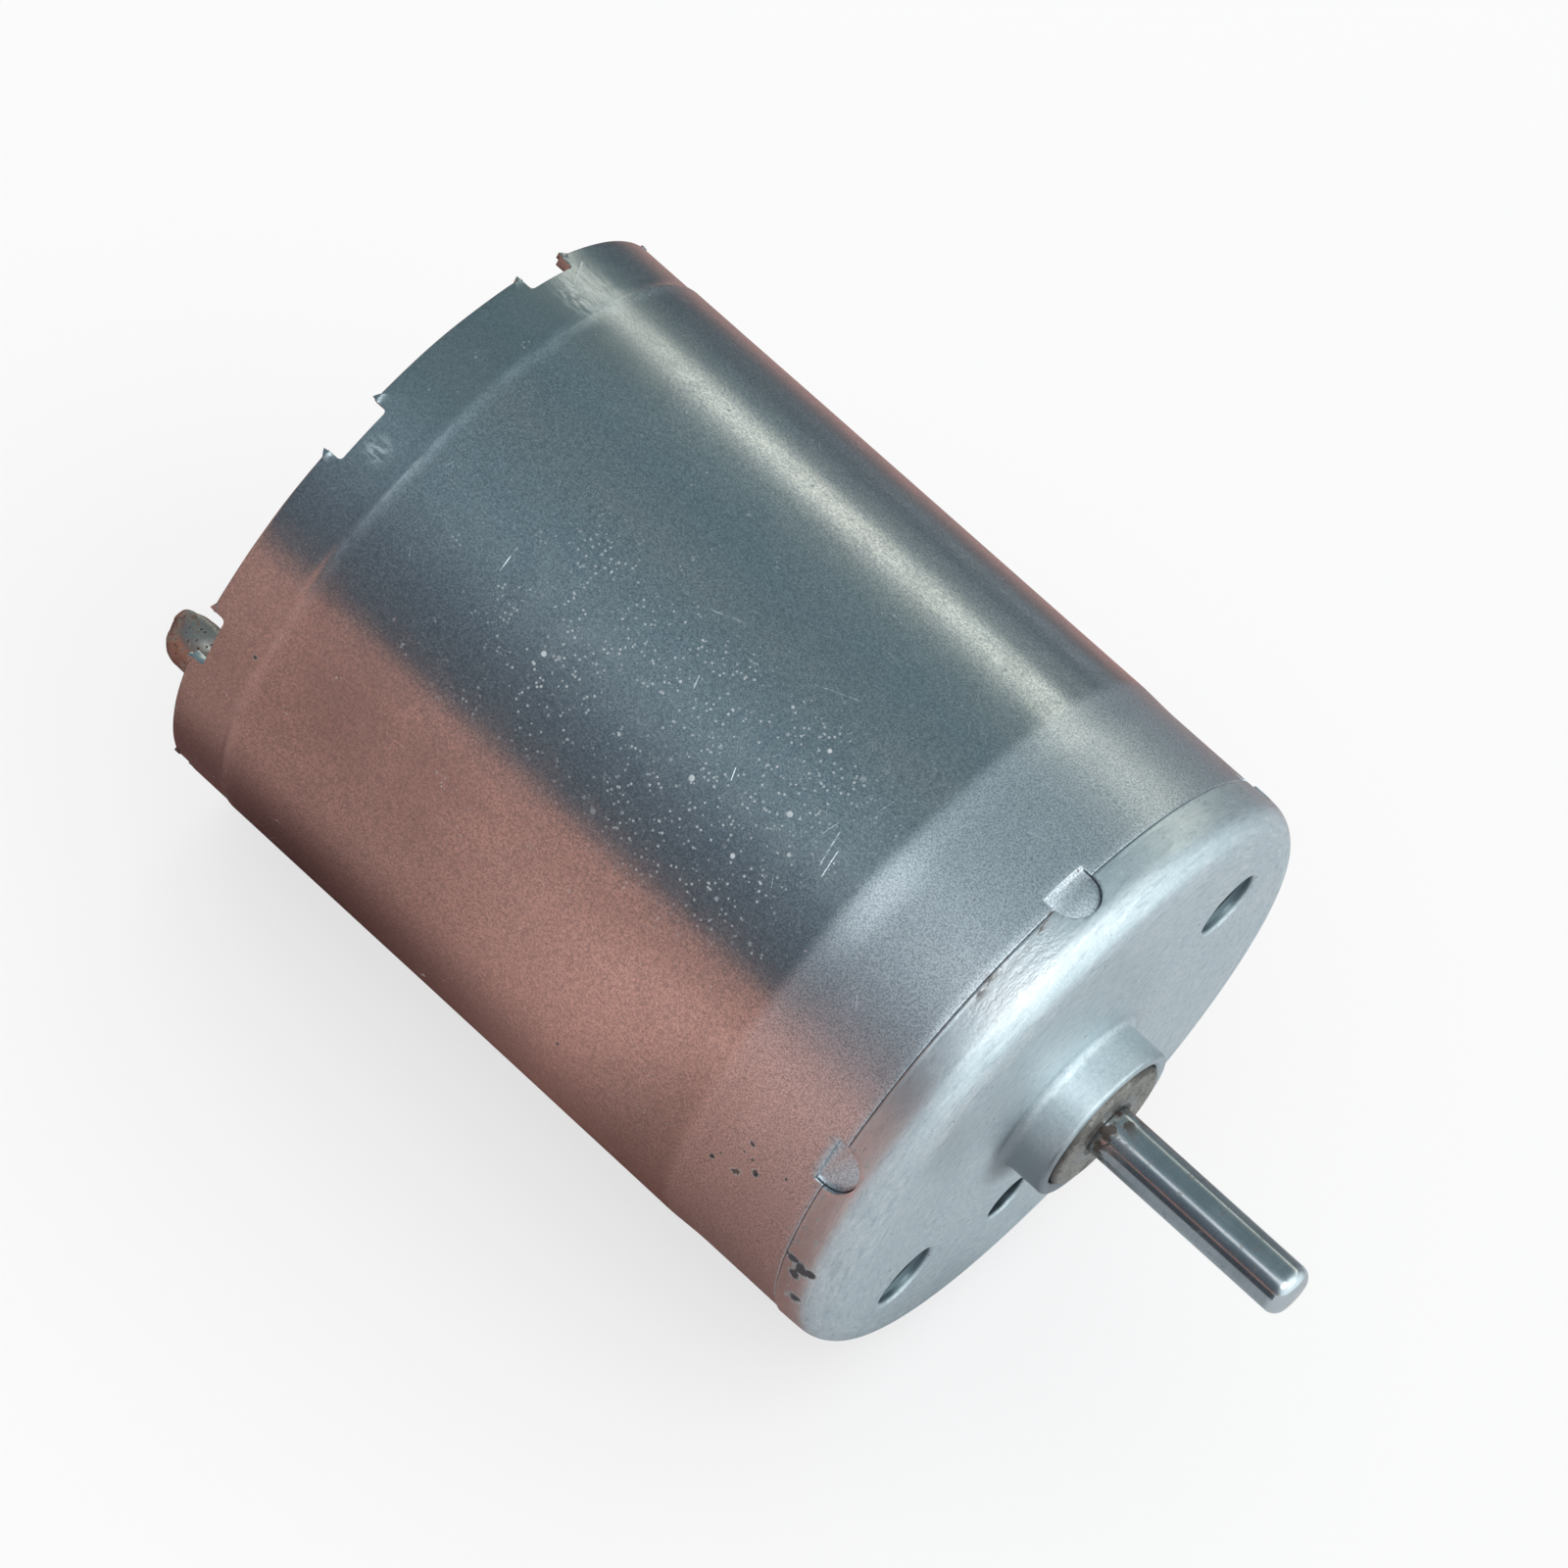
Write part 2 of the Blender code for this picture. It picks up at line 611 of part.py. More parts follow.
def build_bell():
    rear, front = BELL_X
    spigot_in, spigot_out = SPIGOT_R
    bell = add("end_bell", turned([
        (rear, BELL_R - BELL_EDGE), (rear + BELL_EDGE, BELL_R), (front, BELL_R),
        (front, spigot_out), (SPIGOT_X, spigot_out), (SPIGOT_X, spigot_in),
        (front + 0.1, spigot_in), (front + 0.1, BELL_BORE_R),
        (BELL_BOSS_X, BELL_BORE_R), (BELL_BOSS_X, BELL_BOSS_R - BELL_EDGE),
        (BELL_BOSS_X + BELL_EDGE, BELL_BOSS_R),
        (rear - BELL_FILLET, BELL_BOSS_R), (rear, BELL_BOSS_R + BELL_FILLET),
    ], 60), NYLON_BLACK)

    openings = bmesh.new()
    slot_width = TERMINAL_WIDTH + 2 * SLOT_CLEARANCE
    slot_radii = (TERMINAL_R - SLOT_CLEARANCE, TERMINAL_R + TERMINAL_THICK + SLOT_CLEARANCE)
    for angle in (TERMINAL_AT, TERMINAL_AT + 180):
        # the slot that the terminal passes through
        bar((-34.5, -28), slot_width, slot_radii, angle, openings)
        # a curved vent window, 60 degrees on from the terminal
        turn = Matrix.Rotation(radians(angle + 60), 4, "X")
        prism(sector(VENT_R, VENT_SPAN, 6), -31.5, -28.2, turn @ SECTION, openings)
        # a gap in the spigot, a quarter turn on from the terminal
        bar((-28.6, -26), 4.8, (9.9, 11.5), angle + 90, openings)
    cut(bell, add_helper("cut_bell_openings", openings))


# ---- terminals, solder and brushes ----------------------------------------------------------------------

def build_terminals():
    """A strip through the end bell; outside it ends in a rounded tab."""
    rear, front = TERMINAL_X
    half = TERMINAL_WIDTH / 2
    outline = [(front, -half), (front, half), *arc(rear + half, 0, half, 90, 270, 9)]
    strip = prism(outline, TERMINAL_R, TERMINAL_R + TERMINAL_THICK, outward(0))
    add_around("terminal", "ab", strip, TINNED, turn=TERMINAL_AT)


def build_solder():
    """A low rounded drop with a flat base, on the outer face of each tab."""
    length, width, height = SOLDER_SIZE
    layers, around = 4, 16
    rings = []
    for k in range(layers):
        spread, rise = polar(1, 90 * k / layers)
        rings.append([(length / 2 * spread * u, width / 2 * spread * v, height * rise)
                      for u, v in (polar(1, 360 * i / around) for i in range(around))])
    rings.append([(0, 0, height)])
    drop = skin(rings, closed=False)
    drop.faces.new(list(drop.verts)[:around])    # the base

    seat = (TERMINAL_X[0] + 1.0, 0, TERMINAL_R + TERMINAL_THICK + 0.02)
    drop.transform(outward(0) @ Matrix.Translation(seat))
    add_around("solder", "ab", drop, SOLDER, turn=TERMINAL_AT)


def build_brushes():
    """Each leaf runs from beside its terminal past the commutator, with a brush on its
    inner face and a damper on its outer face. All are drawn with the terminal on +Y."""
    start = Vector((LEAF_R, 0.8))
    bend = Vector((LEAF_R, -2.0))
    foot_angle = degrees(atan2(bend.y, bend.x) - acos(CONTACT_R / bend.length))
    foot = Vector(polar(CONTACT_R, foot_angle))
    end = foot + (foot - bend).normalized() * LEAF_OVERRUN
    depth = Vector(polar(LEAF_THICK, foot_angle))
    outline = [
        start, bend, end, end - depth,
        bend - depth - Vector((0.06, 0)), start - Vector((LEAF_THICK, 0)),
    ]
    leaf = prism(outline, *LEAF_X, SECTION)
    add_around("brush_arm", "ab", leaf, PHOSPHOR, turn=TERMINAL_AT)

    brush_radii = (COMM_R[1] + BRUSH_GAP, CONTACT_R - LEAF_THICK - BRUSH_GAP)
    brush = bar(BRUSH_X, BRUSH_WIDTH, brush_radii, foot_angle)
    add_around("brush", "ab", brush, CARBON, turn=TERMINAL_AT)
    damper = bar(DAMPER_X, DAMPER_WIDTH, DAMPER_R, foot_angle)
    add_around("brush_damper", "ab", damper, RUBBER, turn=TERMINAL_AT)


build_tube()
build_cap()
build_bushes()
build_shaft()
build_magnets()
build_clips()
build_core()
build_coils()
build_commutator()
build_varistor()
build_bell()
build_terminals()
build_solder()
build_brushes()
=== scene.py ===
"""A small round brushed DC motor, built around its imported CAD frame.

The shaft lies along X with its tip at +X; the end bell and its tabs are at -X, and Z is up.
The tube, cap, bearings, shaft, end bell, tabs and solder are rebuilt as fine meshes in the places
the CAD gives. The other CAD pieces are kept, and every piece gets a procedural material.

Lengths are in mm, with x counted from the front mounting face, unless a comment says otherwise.
Angles are in degrees about +X, from +Y towards +Z.
"""

import math
from functools import cached_property, reduce
from operator import or_

import bmesh
import bpy
import numpy as np
from mathutils import Matrix, Vector, noise

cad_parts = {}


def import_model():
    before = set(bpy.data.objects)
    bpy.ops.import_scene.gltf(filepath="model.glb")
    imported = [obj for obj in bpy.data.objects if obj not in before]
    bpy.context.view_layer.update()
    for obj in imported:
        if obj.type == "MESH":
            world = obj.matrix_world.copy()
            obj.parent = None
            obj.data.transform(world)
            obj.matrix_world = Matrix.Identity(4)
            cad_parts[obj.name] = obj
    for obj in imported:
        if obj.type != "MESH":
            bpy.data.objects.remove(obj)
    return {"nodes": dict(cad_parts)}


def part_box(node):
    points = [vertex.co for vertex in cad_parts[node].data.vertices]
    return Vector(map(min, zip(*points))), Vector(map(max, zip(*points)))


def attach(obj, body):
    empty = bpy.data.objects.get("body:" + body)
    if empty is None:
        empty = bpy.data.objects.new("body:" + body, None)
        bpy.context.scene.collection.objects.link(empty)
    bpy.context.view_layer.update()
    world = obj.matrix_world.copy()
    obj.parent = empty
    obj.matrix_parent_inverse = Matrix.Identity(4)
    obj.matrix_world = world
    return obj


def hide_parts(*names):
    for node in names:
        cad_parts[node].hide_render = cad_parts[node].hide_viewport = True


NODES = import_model()["nodes"]
MM = 0.001
STAGE = bpy.context.scene.collection


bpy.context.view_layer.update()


def span(node):
    """Low and high corner of a CAD piece, in mm of the frame's own origin."""
    low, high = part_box(node)
    return [c / MM for c in low], [c / MM for c in high]


# ---------------------------------------------------------------------------
# driving dimensions
# ---------------------------------------------------------------------------

tube_low, tube_high = span("can_tube")
cap_low, cap_high = span("front_cap")
shaft_low, shaft_high = span("shaft")

BOSS_H = 1.75
FACE_X = cap_high[0] - BOSS_H            # the mounting face, from the frame's origin
CAN_R = max(tube_high[1], tube_high[2])
FRONT_BAND_R = CAN_R - 0.07
REAR_BAND_R = CAN_R - 0.06
SHAFT_R = shaft_high[2]
X_RIM = tube_low[0] - FACE_X             # rear rim of the tube
X_SKIRT = cap_low[0] - FACE_X            # rear end of the cap's skirt
X_SEAM = -2.3                            # where tube and cap meet
X_TIP = shaft_high[0] - FACE_X
X_TAIL = shaft_low[0] - FACE_X
VIEW_AT = 130.0                          # the side of the motor that faces the camera
MOUNT_PCD, MOUNT_AT = 17.0, 45.0         # circle and angle of the two threaded holes
MOUNT_R, MOUNT_CREST, MOUNT_LIP = 1.25, 1.09, 1.5
AUX_R, AUX_DISTANCE, AUX_AT = 0.93, 6.5, 270.0   # the plain hole


def rad(degrees):
    return math.radians(degrees)


# ---------------------------------------------------------------------------
# mesh helpers
# ---------------------------------------------------------------------------

def shade(obj, angle=32.0):
    obj.data.shade_smooth()
    obj.data.set_sharp_from_angle(angle=rad(angle))


def to_object(name, points, faces, smooth_angle=32.0):
    mesh = bpy.data.meshes.new(name)
    mesh.from_pydata([((x + FACE_X) * MM, y * MM, z * MM) for x, y, z in points], [], faces)
    mesh.update()
    bm = bmesh.new()
    bm.from_mesh(mesh)
    bmesh.ops.recalc_face_normals(bm, faces=bm.faces)
    bm.to_mesh(mesh)
    bm.free()
    obj = bpy.data.objects.new(name, mesh)
    STAGE.objects.link(obj)
    shade(obj, smooth_angle)
    return obj


def loft(name, rings, closed=False, capped=False, smooth_angle=32.0):
    """A skin over rings of points; a ring of one point is a pole."""
    points, numbered, faces = [], [], []
    for ring in rings:
        numbered.append(range(len(points), len(points) + len(ring)))
        points += ring
    following = numbered[1:] + numbered[:1] if closed else numbered[1:]
    for first, second in zip(numbered, following):
        count = max(len(first), len(second))
        for i in range(count):
            j = (i + 1) % count
            if len(first) == 1:
                faces.append((first[0], second[j], second[i]))
            elif len(second) == 1:
                faces.append((first[i], first[j], second[0]))
            else:
                faces.append((first[i], first[j], second[j], second[i]))
    if capped:
        faces += [tuple(numbered[0][::-1]), tuple(numbered[-1])]
    return to_object(name, points, faces, smooth_angle)


def lathe(name, profile, segments, closed=True, warp=None):
    """A profile of (x, radius) spun about the shaft axis; warp moves single points."""
    rings = []
    for x, radius in profile:
        if radius < 1e-6:
            rings.append([(x, 0.0, 0.0)])
            continue
        ring = []
        for i in range(segments):
            turn = 2 * math.pi * i / segments
            px, pr = warp(x, radius, turn) if warp else (x, radius)
            ring.append((px, pr * math.cos(turn), pr * math.sin(turn)))
        rings.append(ring)
    return loft(name, rings, closed)


def hole(name, profile, distance, angle, segments=56):
    """A cutter of (x, radius) spun about an axis parallel to the shaft."""
    cy, cz = distance * math.cos(rad(angle)), distance * math.sin(rad(angle))
    turns = [2 * math.pi * i / segments for i in range(segments)]
    rings = [[(x, cy + radius * math.cos(t), cz + radius * math.sin(t)) for t in turns]
             for x, radius in profile]
    return loft(name, rings, capped=True)


def on_side(x, across, out, angle):
    """A point on the motor's side at angle: across runs round the shaft, out away from it."""
    turn = rad(angle)
    return (x, -across * math.sin(turn) + out * math.cos(turn),
            across * math.cos(turn) + out * math.sin(turn))


class Blocks:
    """Closed blocks gathered into one object."""

    def __init__(self):
        self.points, self.faces = [], []

    def add(self, first, second):
        base, count = len(self.points), len(first)
        self.points += first + second
        self.faces.append(tuple(range(base + count - 1, base - 1, -1)))
        self.faces.append(tuple(range(base + count, base + 2 * count)))
        for i in range(count):
            j = (i + 1) % count
            self.faces.append((base + i, base + j, base + count + j, base + count + i))

    def outward(self, outline, low, high, angle, tilt=0.0):
        """(x, across) run outwards from low to high; tilt lowers the top as x grows."""
        start = min(x for x, across in outline)
        self.add([on_side(x, across, low, angle) for x, across in outline],
                 [on_side(x, across, high - tilt * (x - start), angle) for x, across in outline])

    def sideways(self, side_view, half, angle):
        """(x, radius) run across from -half to half."""
        self.add(*([on_side(x, across, radius, angle) for x, radius in side_view]
                   for across in (-half, half)))

    def along(self, outline, low, high):
        """(y, z) run along the shaft axis."""
        self.add(*([(x, y, z) for y, z in outline] for x in (low, high)))

    def build(self, name):
        return to_object(name, self.points, self.faces)


def apply_modifiers(obj):
    bpy.context.view_layer.update()
    graph = bpy.context.evaluated_depsgraph_get()
    mesh = bpy.data.meshes.new_from_object(
        obj.evaluated_get(graph), preserve_all_data_layers=True, depsgraph=graph)
    old = obj.data
    obj.modifiers.clear()
    obj.data = mesh
    bpy.data.meshes.remove(old)


def boolean(obj, other, operation):
    """Joins or cuts obj with other, and removes other."""
    modifier = obj.modifiers.new(operation, "BOOLEAN")
    modifier.operation = operation
    modifier.solver = "EXACT"
    modifier.object = other
    apply_modifiers(obj)
    mesh = other.data
    bpy.data.objects.remove(other, do_unlink=True)
    bpy.data.meshes.remove(mesh)


def soften(obj, width, segments=2, angle=40.0):
    """Rounds every edge sharper than angle, by width."""
    modifier = obj.modifiers.new("soften", "BEVEL")
    modifier.width = width * MM
    modifier.segments = segments
    modifier.limit_method = "ANGLE"
    modifier.angle_limit = rad(angle)
    modifier.use_clamp_overlap = True
    modifier.miter_outer = "MITER_ARC"
    apply_modifiers(obj)
    shade(obj)


def tidy(obj, gap=0.0012):
    """Closes up the slivers that cutting and rounding leave behind."""
    bm = bmesh.new()
    bm.from_mesh(obj.data)
    bmesh.ops.remove_doubles(bm, verts=bm.verts[:], dist=gap * MM)
    bmesh.ops.dissolve_degenerate(bm, dist=gap * MM, edges=bm.edges[:])
    wires = [e for e in bm.edges if not e.link_faces]
    bmesh.ops.delete(bm, geom=wires, context="EDGES")
    loose = [v for v in bm.verts if not v.link_edges]
    bmesh.ops.delete(bm, geom=loose, context="VERTS")
    rims = [e for e in bm.edges if len(e.link_faces) == 1]
    bmesh.ops.holes_fill(bm, edges=rims, sides=0)
    bmesh.ops.recalc_face_normals(bm, faces=bm.faces[:])
    bm.to_mesh(obj.data)
    bm.free()
    shade(obj)


def arc(x, y, radius, start, end, steps):
    """Points from start to end on a circle about (x, y), both ends included."""
    turns = [rad(start + (end - start) * i / steps) for i in range(steps + 1)]
    return [(x + radius * math.cos(t), y + radius * math.sin(t)) for t in turns]


def between(start, end, count):
    """The points that divide a line in count parts, without its ends."""
    return [(start[0] + (end[0] - start[0]) * i / count,
             start[1] + (end[1] - start[1]) * i / count) for i in range(1, count)]


def run(profile, end, count):
    """Carries a profile on to end in count straight parts."""
    profile += between(profile[-1], end, count) + [end]


def ease(t):
    return t * t * (3 - 2 * t)


def lumps(x, y, z):
    return noise.noise(Vector((x, y, z)))


def box(x0, x1, half):
    return [(x0, -half), (x1, -half), (x1, half), (x0, half)]


# ---------------------------------------------------------------------------
# shader helpers: sockets are wrapped so that masks and heights read as sums
# ---------------------------------------------------------------------------

class Value:
    """A shader socket. Arithmetic on it makes Math nodes; a | b is the larger of the two."""

    tree = None                          # the node tree being built

    def __init__(self, socket):
        self.socket = socket

    def __add__(self, other):
        return calc("ADD", self, other)

    def __radd__(self, other):
        return calc("ADD", other, self)

    def __sub__(self, other):
        return calc("SUBTRACT", self, other)

    def __rsub__(self, other):
        return calc("SUBTRACT", other, self)

    def __mul__(self, other):
        return calc("MULTIPLY", self, other)

    def __truediv__(self, other):
        return calc("DIVIDE", self, other)

    def __pow__(self, other):
        return calc("POWER", self, other)

    def __or__(self, other):
        return calc("MAXIMUM", self, other)

    def __abs__(self):
        return calc("ABSOLUTE", self)


def put(socket, value):
    if isinstance(value, Value):
        Value.tree.links.new(value.socket, socket)
    elif isinstance(value, tuple) and len(value) == 3 and socket.type == "RGBA":
        socket.default_value = (*value, 1.0)
    else:
        socket.default_value = value


def node(kind, inputs=None, **props):
    made = Value.tree.nodes.new("ShaderNode" + kind)
    for key, value in props.items():
        setattr(made, key, value)
    for key, value in (inputs or {}).items():
        put(made.inputs[key], value)
    return made


def calc(operation, first, second=0.0, clamp=False):
    made = node("Math", {0: first, 1: second}, operation=operation, use_clamp=clamp)
    return Value(made.outputs[0])


def vec(operation, first, second=None):
    made = node("VectorMath", {0: first}, operation=operation)
    if second is not None:
        put(made.inputs["Scale" if operation == "SCALE" else 1], second)
    scalar = operation in ("DOT_PRODUCT", "LENGTH", "DISTANCE")
    return Value(made.outputs["Value" if scalar else "Vector"])


def combine(x, y=0.0, z=0.0):
    return Value(node("CombineXYZ", {0: x, 1: y, 2: z}).outputs[0])


def split(vector):
    return [Value(out) for out in node("SeparateXYZ", {0: vector}).outputs]


def step(value, zero_at, one_at, low=0.0, high=1.0, kind="SMOOTHSTEP"):
    """Runs from low to high as value goes from zero_at to one_at."""
    made = node("MapRange", {"Value": value, "From Min": zero_at, "From Max": one_at,
                             "To Min": low, "To Max": high},
                interpolation_type=kind, clamp=True)
    return Value(made.outputs["Result"])


def near(value, centre, outer, inner):
    """1 within inner of centre, 0 beyond outer."""
    return step(abs(value - centre), outer, inner)


def mix(factor, first, second, blend="MIX"):
    made = node("Mix", {0: factor, 6: first, 7: second},
                data_type="RGBA", blend_type=blend, clamp_factor=True)
    return Value(made.outputs[2])


def mix_float(factor, first, second):
    made = node("Mix", {0: factor, 2: first, 3: second}, data_type="FLOAT", clamp_factor=True)
    return Value(made.outputs[0])


def paint(color, *layers):
    """Lays (amount, colour) layers over a colour."""
    for amount, top in layers:
        color = mix(amount, color, top)
    return color


def grade(number, *layers):
    """Lays (amount, value) layers over a number."""
    for amount, top in layers:
        number = mix_float(amount, number, top)
    return number


def strongest(masks):
    return reduce(or_, masks)


def clouds(vector, scale=1.0, detail=3.0, rough=0.55, warp=0.0, shift=0.0):
    """Noise; shift looks up another part of it."""
    if shift:
        vector = vec("ADD", vector, (shift, shift * 1.7, -shift))
    made = node("TexNoise", {"Vector": vector, "Scale": scale, "Detail": detail,
                             "Roughness": rough, "Distortion": warp})
    return Value(made.outputs[0])


def cells(vector, scale):
    """Distance to the nearest scattered point, and three random numbers of that point."""
    made = node("TexVoronoi", {"Vector": vector, "Scale": scale, "Randomness": 1.0},
                feature="F1")
    return Value(made.outputs["Distance"]), split(Value(made.outputs["Color"]))


def ramp(factor, stops):
    """Colour along factor, through (position, colour) stops."""
    made = node("ValToRGB", {0: factor})
    elements = made.color_ramp.elements
    while len(elements) > 1:
        elements.remove(elements[-1])
    for i, (position, rgb) in enumerate(stops):
        element = elements.new(position) if i else elements[0]
        element.position = position
        element.color = (*rgb, 1.0)
    return Value(made.outputs[0])


def bump(height, depth, strength, normal=None):
    made = node("Bump", {"Strength": strength, "Distance": depth * MM, "Height": height})
    if normal is not None:
        put(made.inputs["Normal"], normal)
    return Value(made.outputs[0])


def shader(color, roughness, metallic, normal=None, **extra):
    made = node("BsdfPrincipled",
                {"Base Color": color, "Roughness": roughness, "Metallic": metallic})
    if normal is not None:
        put(made.inputs["Normal"], normal)
    for key, value in extra.items():
        put(made.inputs[key.replace("_", " ")], value)
    return Value(made.outputs[0])


def emission(**inputs):
    return Value(node("Emission", inputs).outputs[0])


def coordinates(kind="Object"):
    return Value(node("TexCoord").outputs[kind])


class Place:
    """Where the shaded point lies, in mm. Each part is built when it is first asked for.

    angle is counted in radians from the camera's side and grows upwards; arc is its length
    at the unrolling radius, so the seam of the unrolling is on the far side.
    """

    def __init__(self, unroll_radius=1.0):
        self.unroll_radius = unroll_radius

    @cached_property
    def point(self):
        return vec("SUBTRACT", vec("SCALE", coordinates(), 1000.0), (FACE_X, 0, 0))

    @cached_property
    def xyz(self):
        return split(self.point)

    @cached_property
    def radius(self):
        x, y, z = self.xyz
        return calc("SQRT", y * y + z * z)

    @cached_property
    def angle(self):
        x, y, z = self.xyz
        view = rad(VIEW_AT)
        toward = y * math.cos(view) + z * math.sin(view)
        beside = y * math.sin(view) + z * -math.cos(view)
        return calc("ARCTAN2", beside, toward)

    @cached_property
    def arc(self):
        return self.angle * self.unroll_radius

    @cached_property
    def flat(self):
        return combine(self.xyz[0], self.arc)

    def sweep(self, zero_at, one_at):
        """A step along the angle, in degrees."""
        return step(self.angle, rad(zero_at), rad(one_at))

    def facing(self, centre, outer, inner):
        """1 near an angle, in degrees."""
        return near(self.angle, rad(centre), rad(outer), rad(inner))

    def spot(self, x, angle, radius, soft, ragged, amount):
        """A round mark whose edge is moved by the noise ragged."""
        off = vec("DISTANCE", self.flat, (x, rad(angle) * self.unroll_radius, 0.0))
        off = off + (ragged - 0.5) * amount
        return step(off, radius * (1 + soft), radius * (1 - soft))

    def scratch(self, start, end, width):
        """A line between two (x, angle) places that thins out towards both."""
        ax, ay = start[0], rad(start[1]) * self.unroll_radius
        dx, dy = end[0] - ax, rad(end[1]) * self.unroll_radius - ay
        offset = vec("SUBTRACT", self.flat, (ax, ay, 0.0))
        share = calc("DIVIDE", vec("DOT_PRODUCT", offset, (dx, dy, 0.0)),
                     dx * dx + dy * dy, clamp=True)
        away = vec("LENGTH", vec("SUBTRACT", offset, vec("SCALE", (dx, dy, 0.0), share)))
        taper = share * (1.0 - share) * 4.0
        return step(away, width, width * 0.25) * step(taper, 0.0, 0.5)


def fill(tree, output_kind, shading, settings):
    """Fills a node tree with what the function shading returns."""
    Value.tree = tree
    tree.nodes.clear()
    output = node(output_kind)
    put(output.inputs["Surface"], shading(**settings))


def new_material(name, shading, **settings):
    material = bpy.data.materials.new(name)
    material.use_nodes = True
    fill(material.node_tree, "OutputMaterial", shading, settings)
    return material


# ---------------------------------------------------------------------------
# materials of the two steel shells
# ---------------------------------------------------------------------------

# start (x, angle), end (x, angle), width
CAN_SCRATCHES = (
    ((-24.15, 7.4), (-24.0, 1.2), 0.040), ((-9.3, 7.0), (-9.0, 0.6), 0.045),
    ((-8.9, 4.6), (-8.7, -0.6), 0.035), ((-4.9, 27.4), (-3.9, 29.4), 0.050),
    ((-16.5, 10.5), (-16.3, 8.0), 0.040), ((-17.9, 19.4), (-16.6, 22.0), 0.028),
    ((-13.6, 21.6), (-11.9, 25.2), 0.026), ((-13.1, 24.4), (-12.1, 22.4), 0.024),
    ((-30.9, 57.0), (-30.2, 50.5), 0.07), ((-5.3, -9.4), (-4.9, -12.4), 0.075),
    ((-13.4, 3.5), (-13.2, 1.2), 0.030),
)
# x, angle, radius
CAN_DOTS = (
    (-5.14, -43.0, 0.10), (-4.56, -47.6, 0.13), (-5.14, -50.6, 0.17), (-6.17, -52.0, 0.11),
    (-5.96, -49.8, 0.07), (-5.25, -45.7, 0.06), (-4.85, -45.8, 0.06), (-3.49, -43.8, 0.06),
    (-13.0, -58.0, 0.06), (-29.2, -38.0, 0.09),
)
CAP_DOTS = (
    (-1.94, -57.6, 0.22), (-1.55, -58.6, 0.32), (-1.20, -58.0, 0.22), (-1.70, -61.2, 0.24),
    (-1.40, -68.4, 0.27), (-2.24, -57.3, 0.09),
)
# direction from the shaft, place in the noise, threshold
HAIRLINES = ((12.0, 0.0, 0.715), (-58.0, 11.0, 0.735), (78.0, 23.0, 0.745))


def can_hairlines(here):
    """Hairlines in three directions, only in some regions."""
    def lines(direction, shift, keep):
        turn = rad(direction)
        along = here.xyz[0] * math.cos(turn) + here.arc * math.sin(turn)
        across = here.xyz[0] * -math.sin(turn) + here.arc * math.cos(turn)
        streaks = clouds(combine(along * 0.35, across * 14.0, shift),
                         detail=2.0, rough=0.5, warp=0.15)
        return step(streaks, keep, keep + 0.05)

    regions = clouds(here.point, 0.45, detail=2.0, rough=0.5, shift=19.0)
    return strongest(lines(*row) for row in HAIRLINES) * step(regions, 0.42, 0.62)


def can_dust(here, band):
    """Pale specks, thick in one patch of the upper side and absent from the band."""
    x = here.xyz[0]
    distance, chance = cells(here.flat, 2.1)
    size = chance[0] ** 2.0 * 0.19
    specks = step(distance - size, 0.09, 0.0) * step(chance[1], 0.36, 0.38)
    weight = step(chance[2], 0.0, 1.0, low=0.35, high=1.0, kind="LINEAR")
    distance, chance = cells(vec("ADD", here.flat, (3.1, 7.7, 0)), 5.2)
    fine_specks = step(distance, 0.35, 0.15) * step(chance[1], 0.38, 0.40)
    thick = (step(x, -18.5, -14.0) * step(x, -8.0, -11.0)
             * (here.sweep(-25, -12) * here.sweep(14, 0)))
    patch = (step(x, -26.5, -20.5) * step(x, -7.0, -11.0)
             * (here.sweep(-25, -8) * here.sweep(25, 14)))
    clumps = clouds(here.point, 0.75, rough=0.6, shift=31.0)
    patch = patch * step(clumps, 0.40, 0.55) | thick * step(clumps, 0.32, 0.48)
    scatter = step(clouds(here.point, 0.8, detail=2.0, rough=0.5, shift=41.0), 0.58, 0.72)
    dust = specks * weight * (patch * 0.95 + scatter * 0.35)
    dust = dust | fine_specks * (patch * 0.60 + scatter * 0.30)
    return dust * (1.0 - band * 0.8)


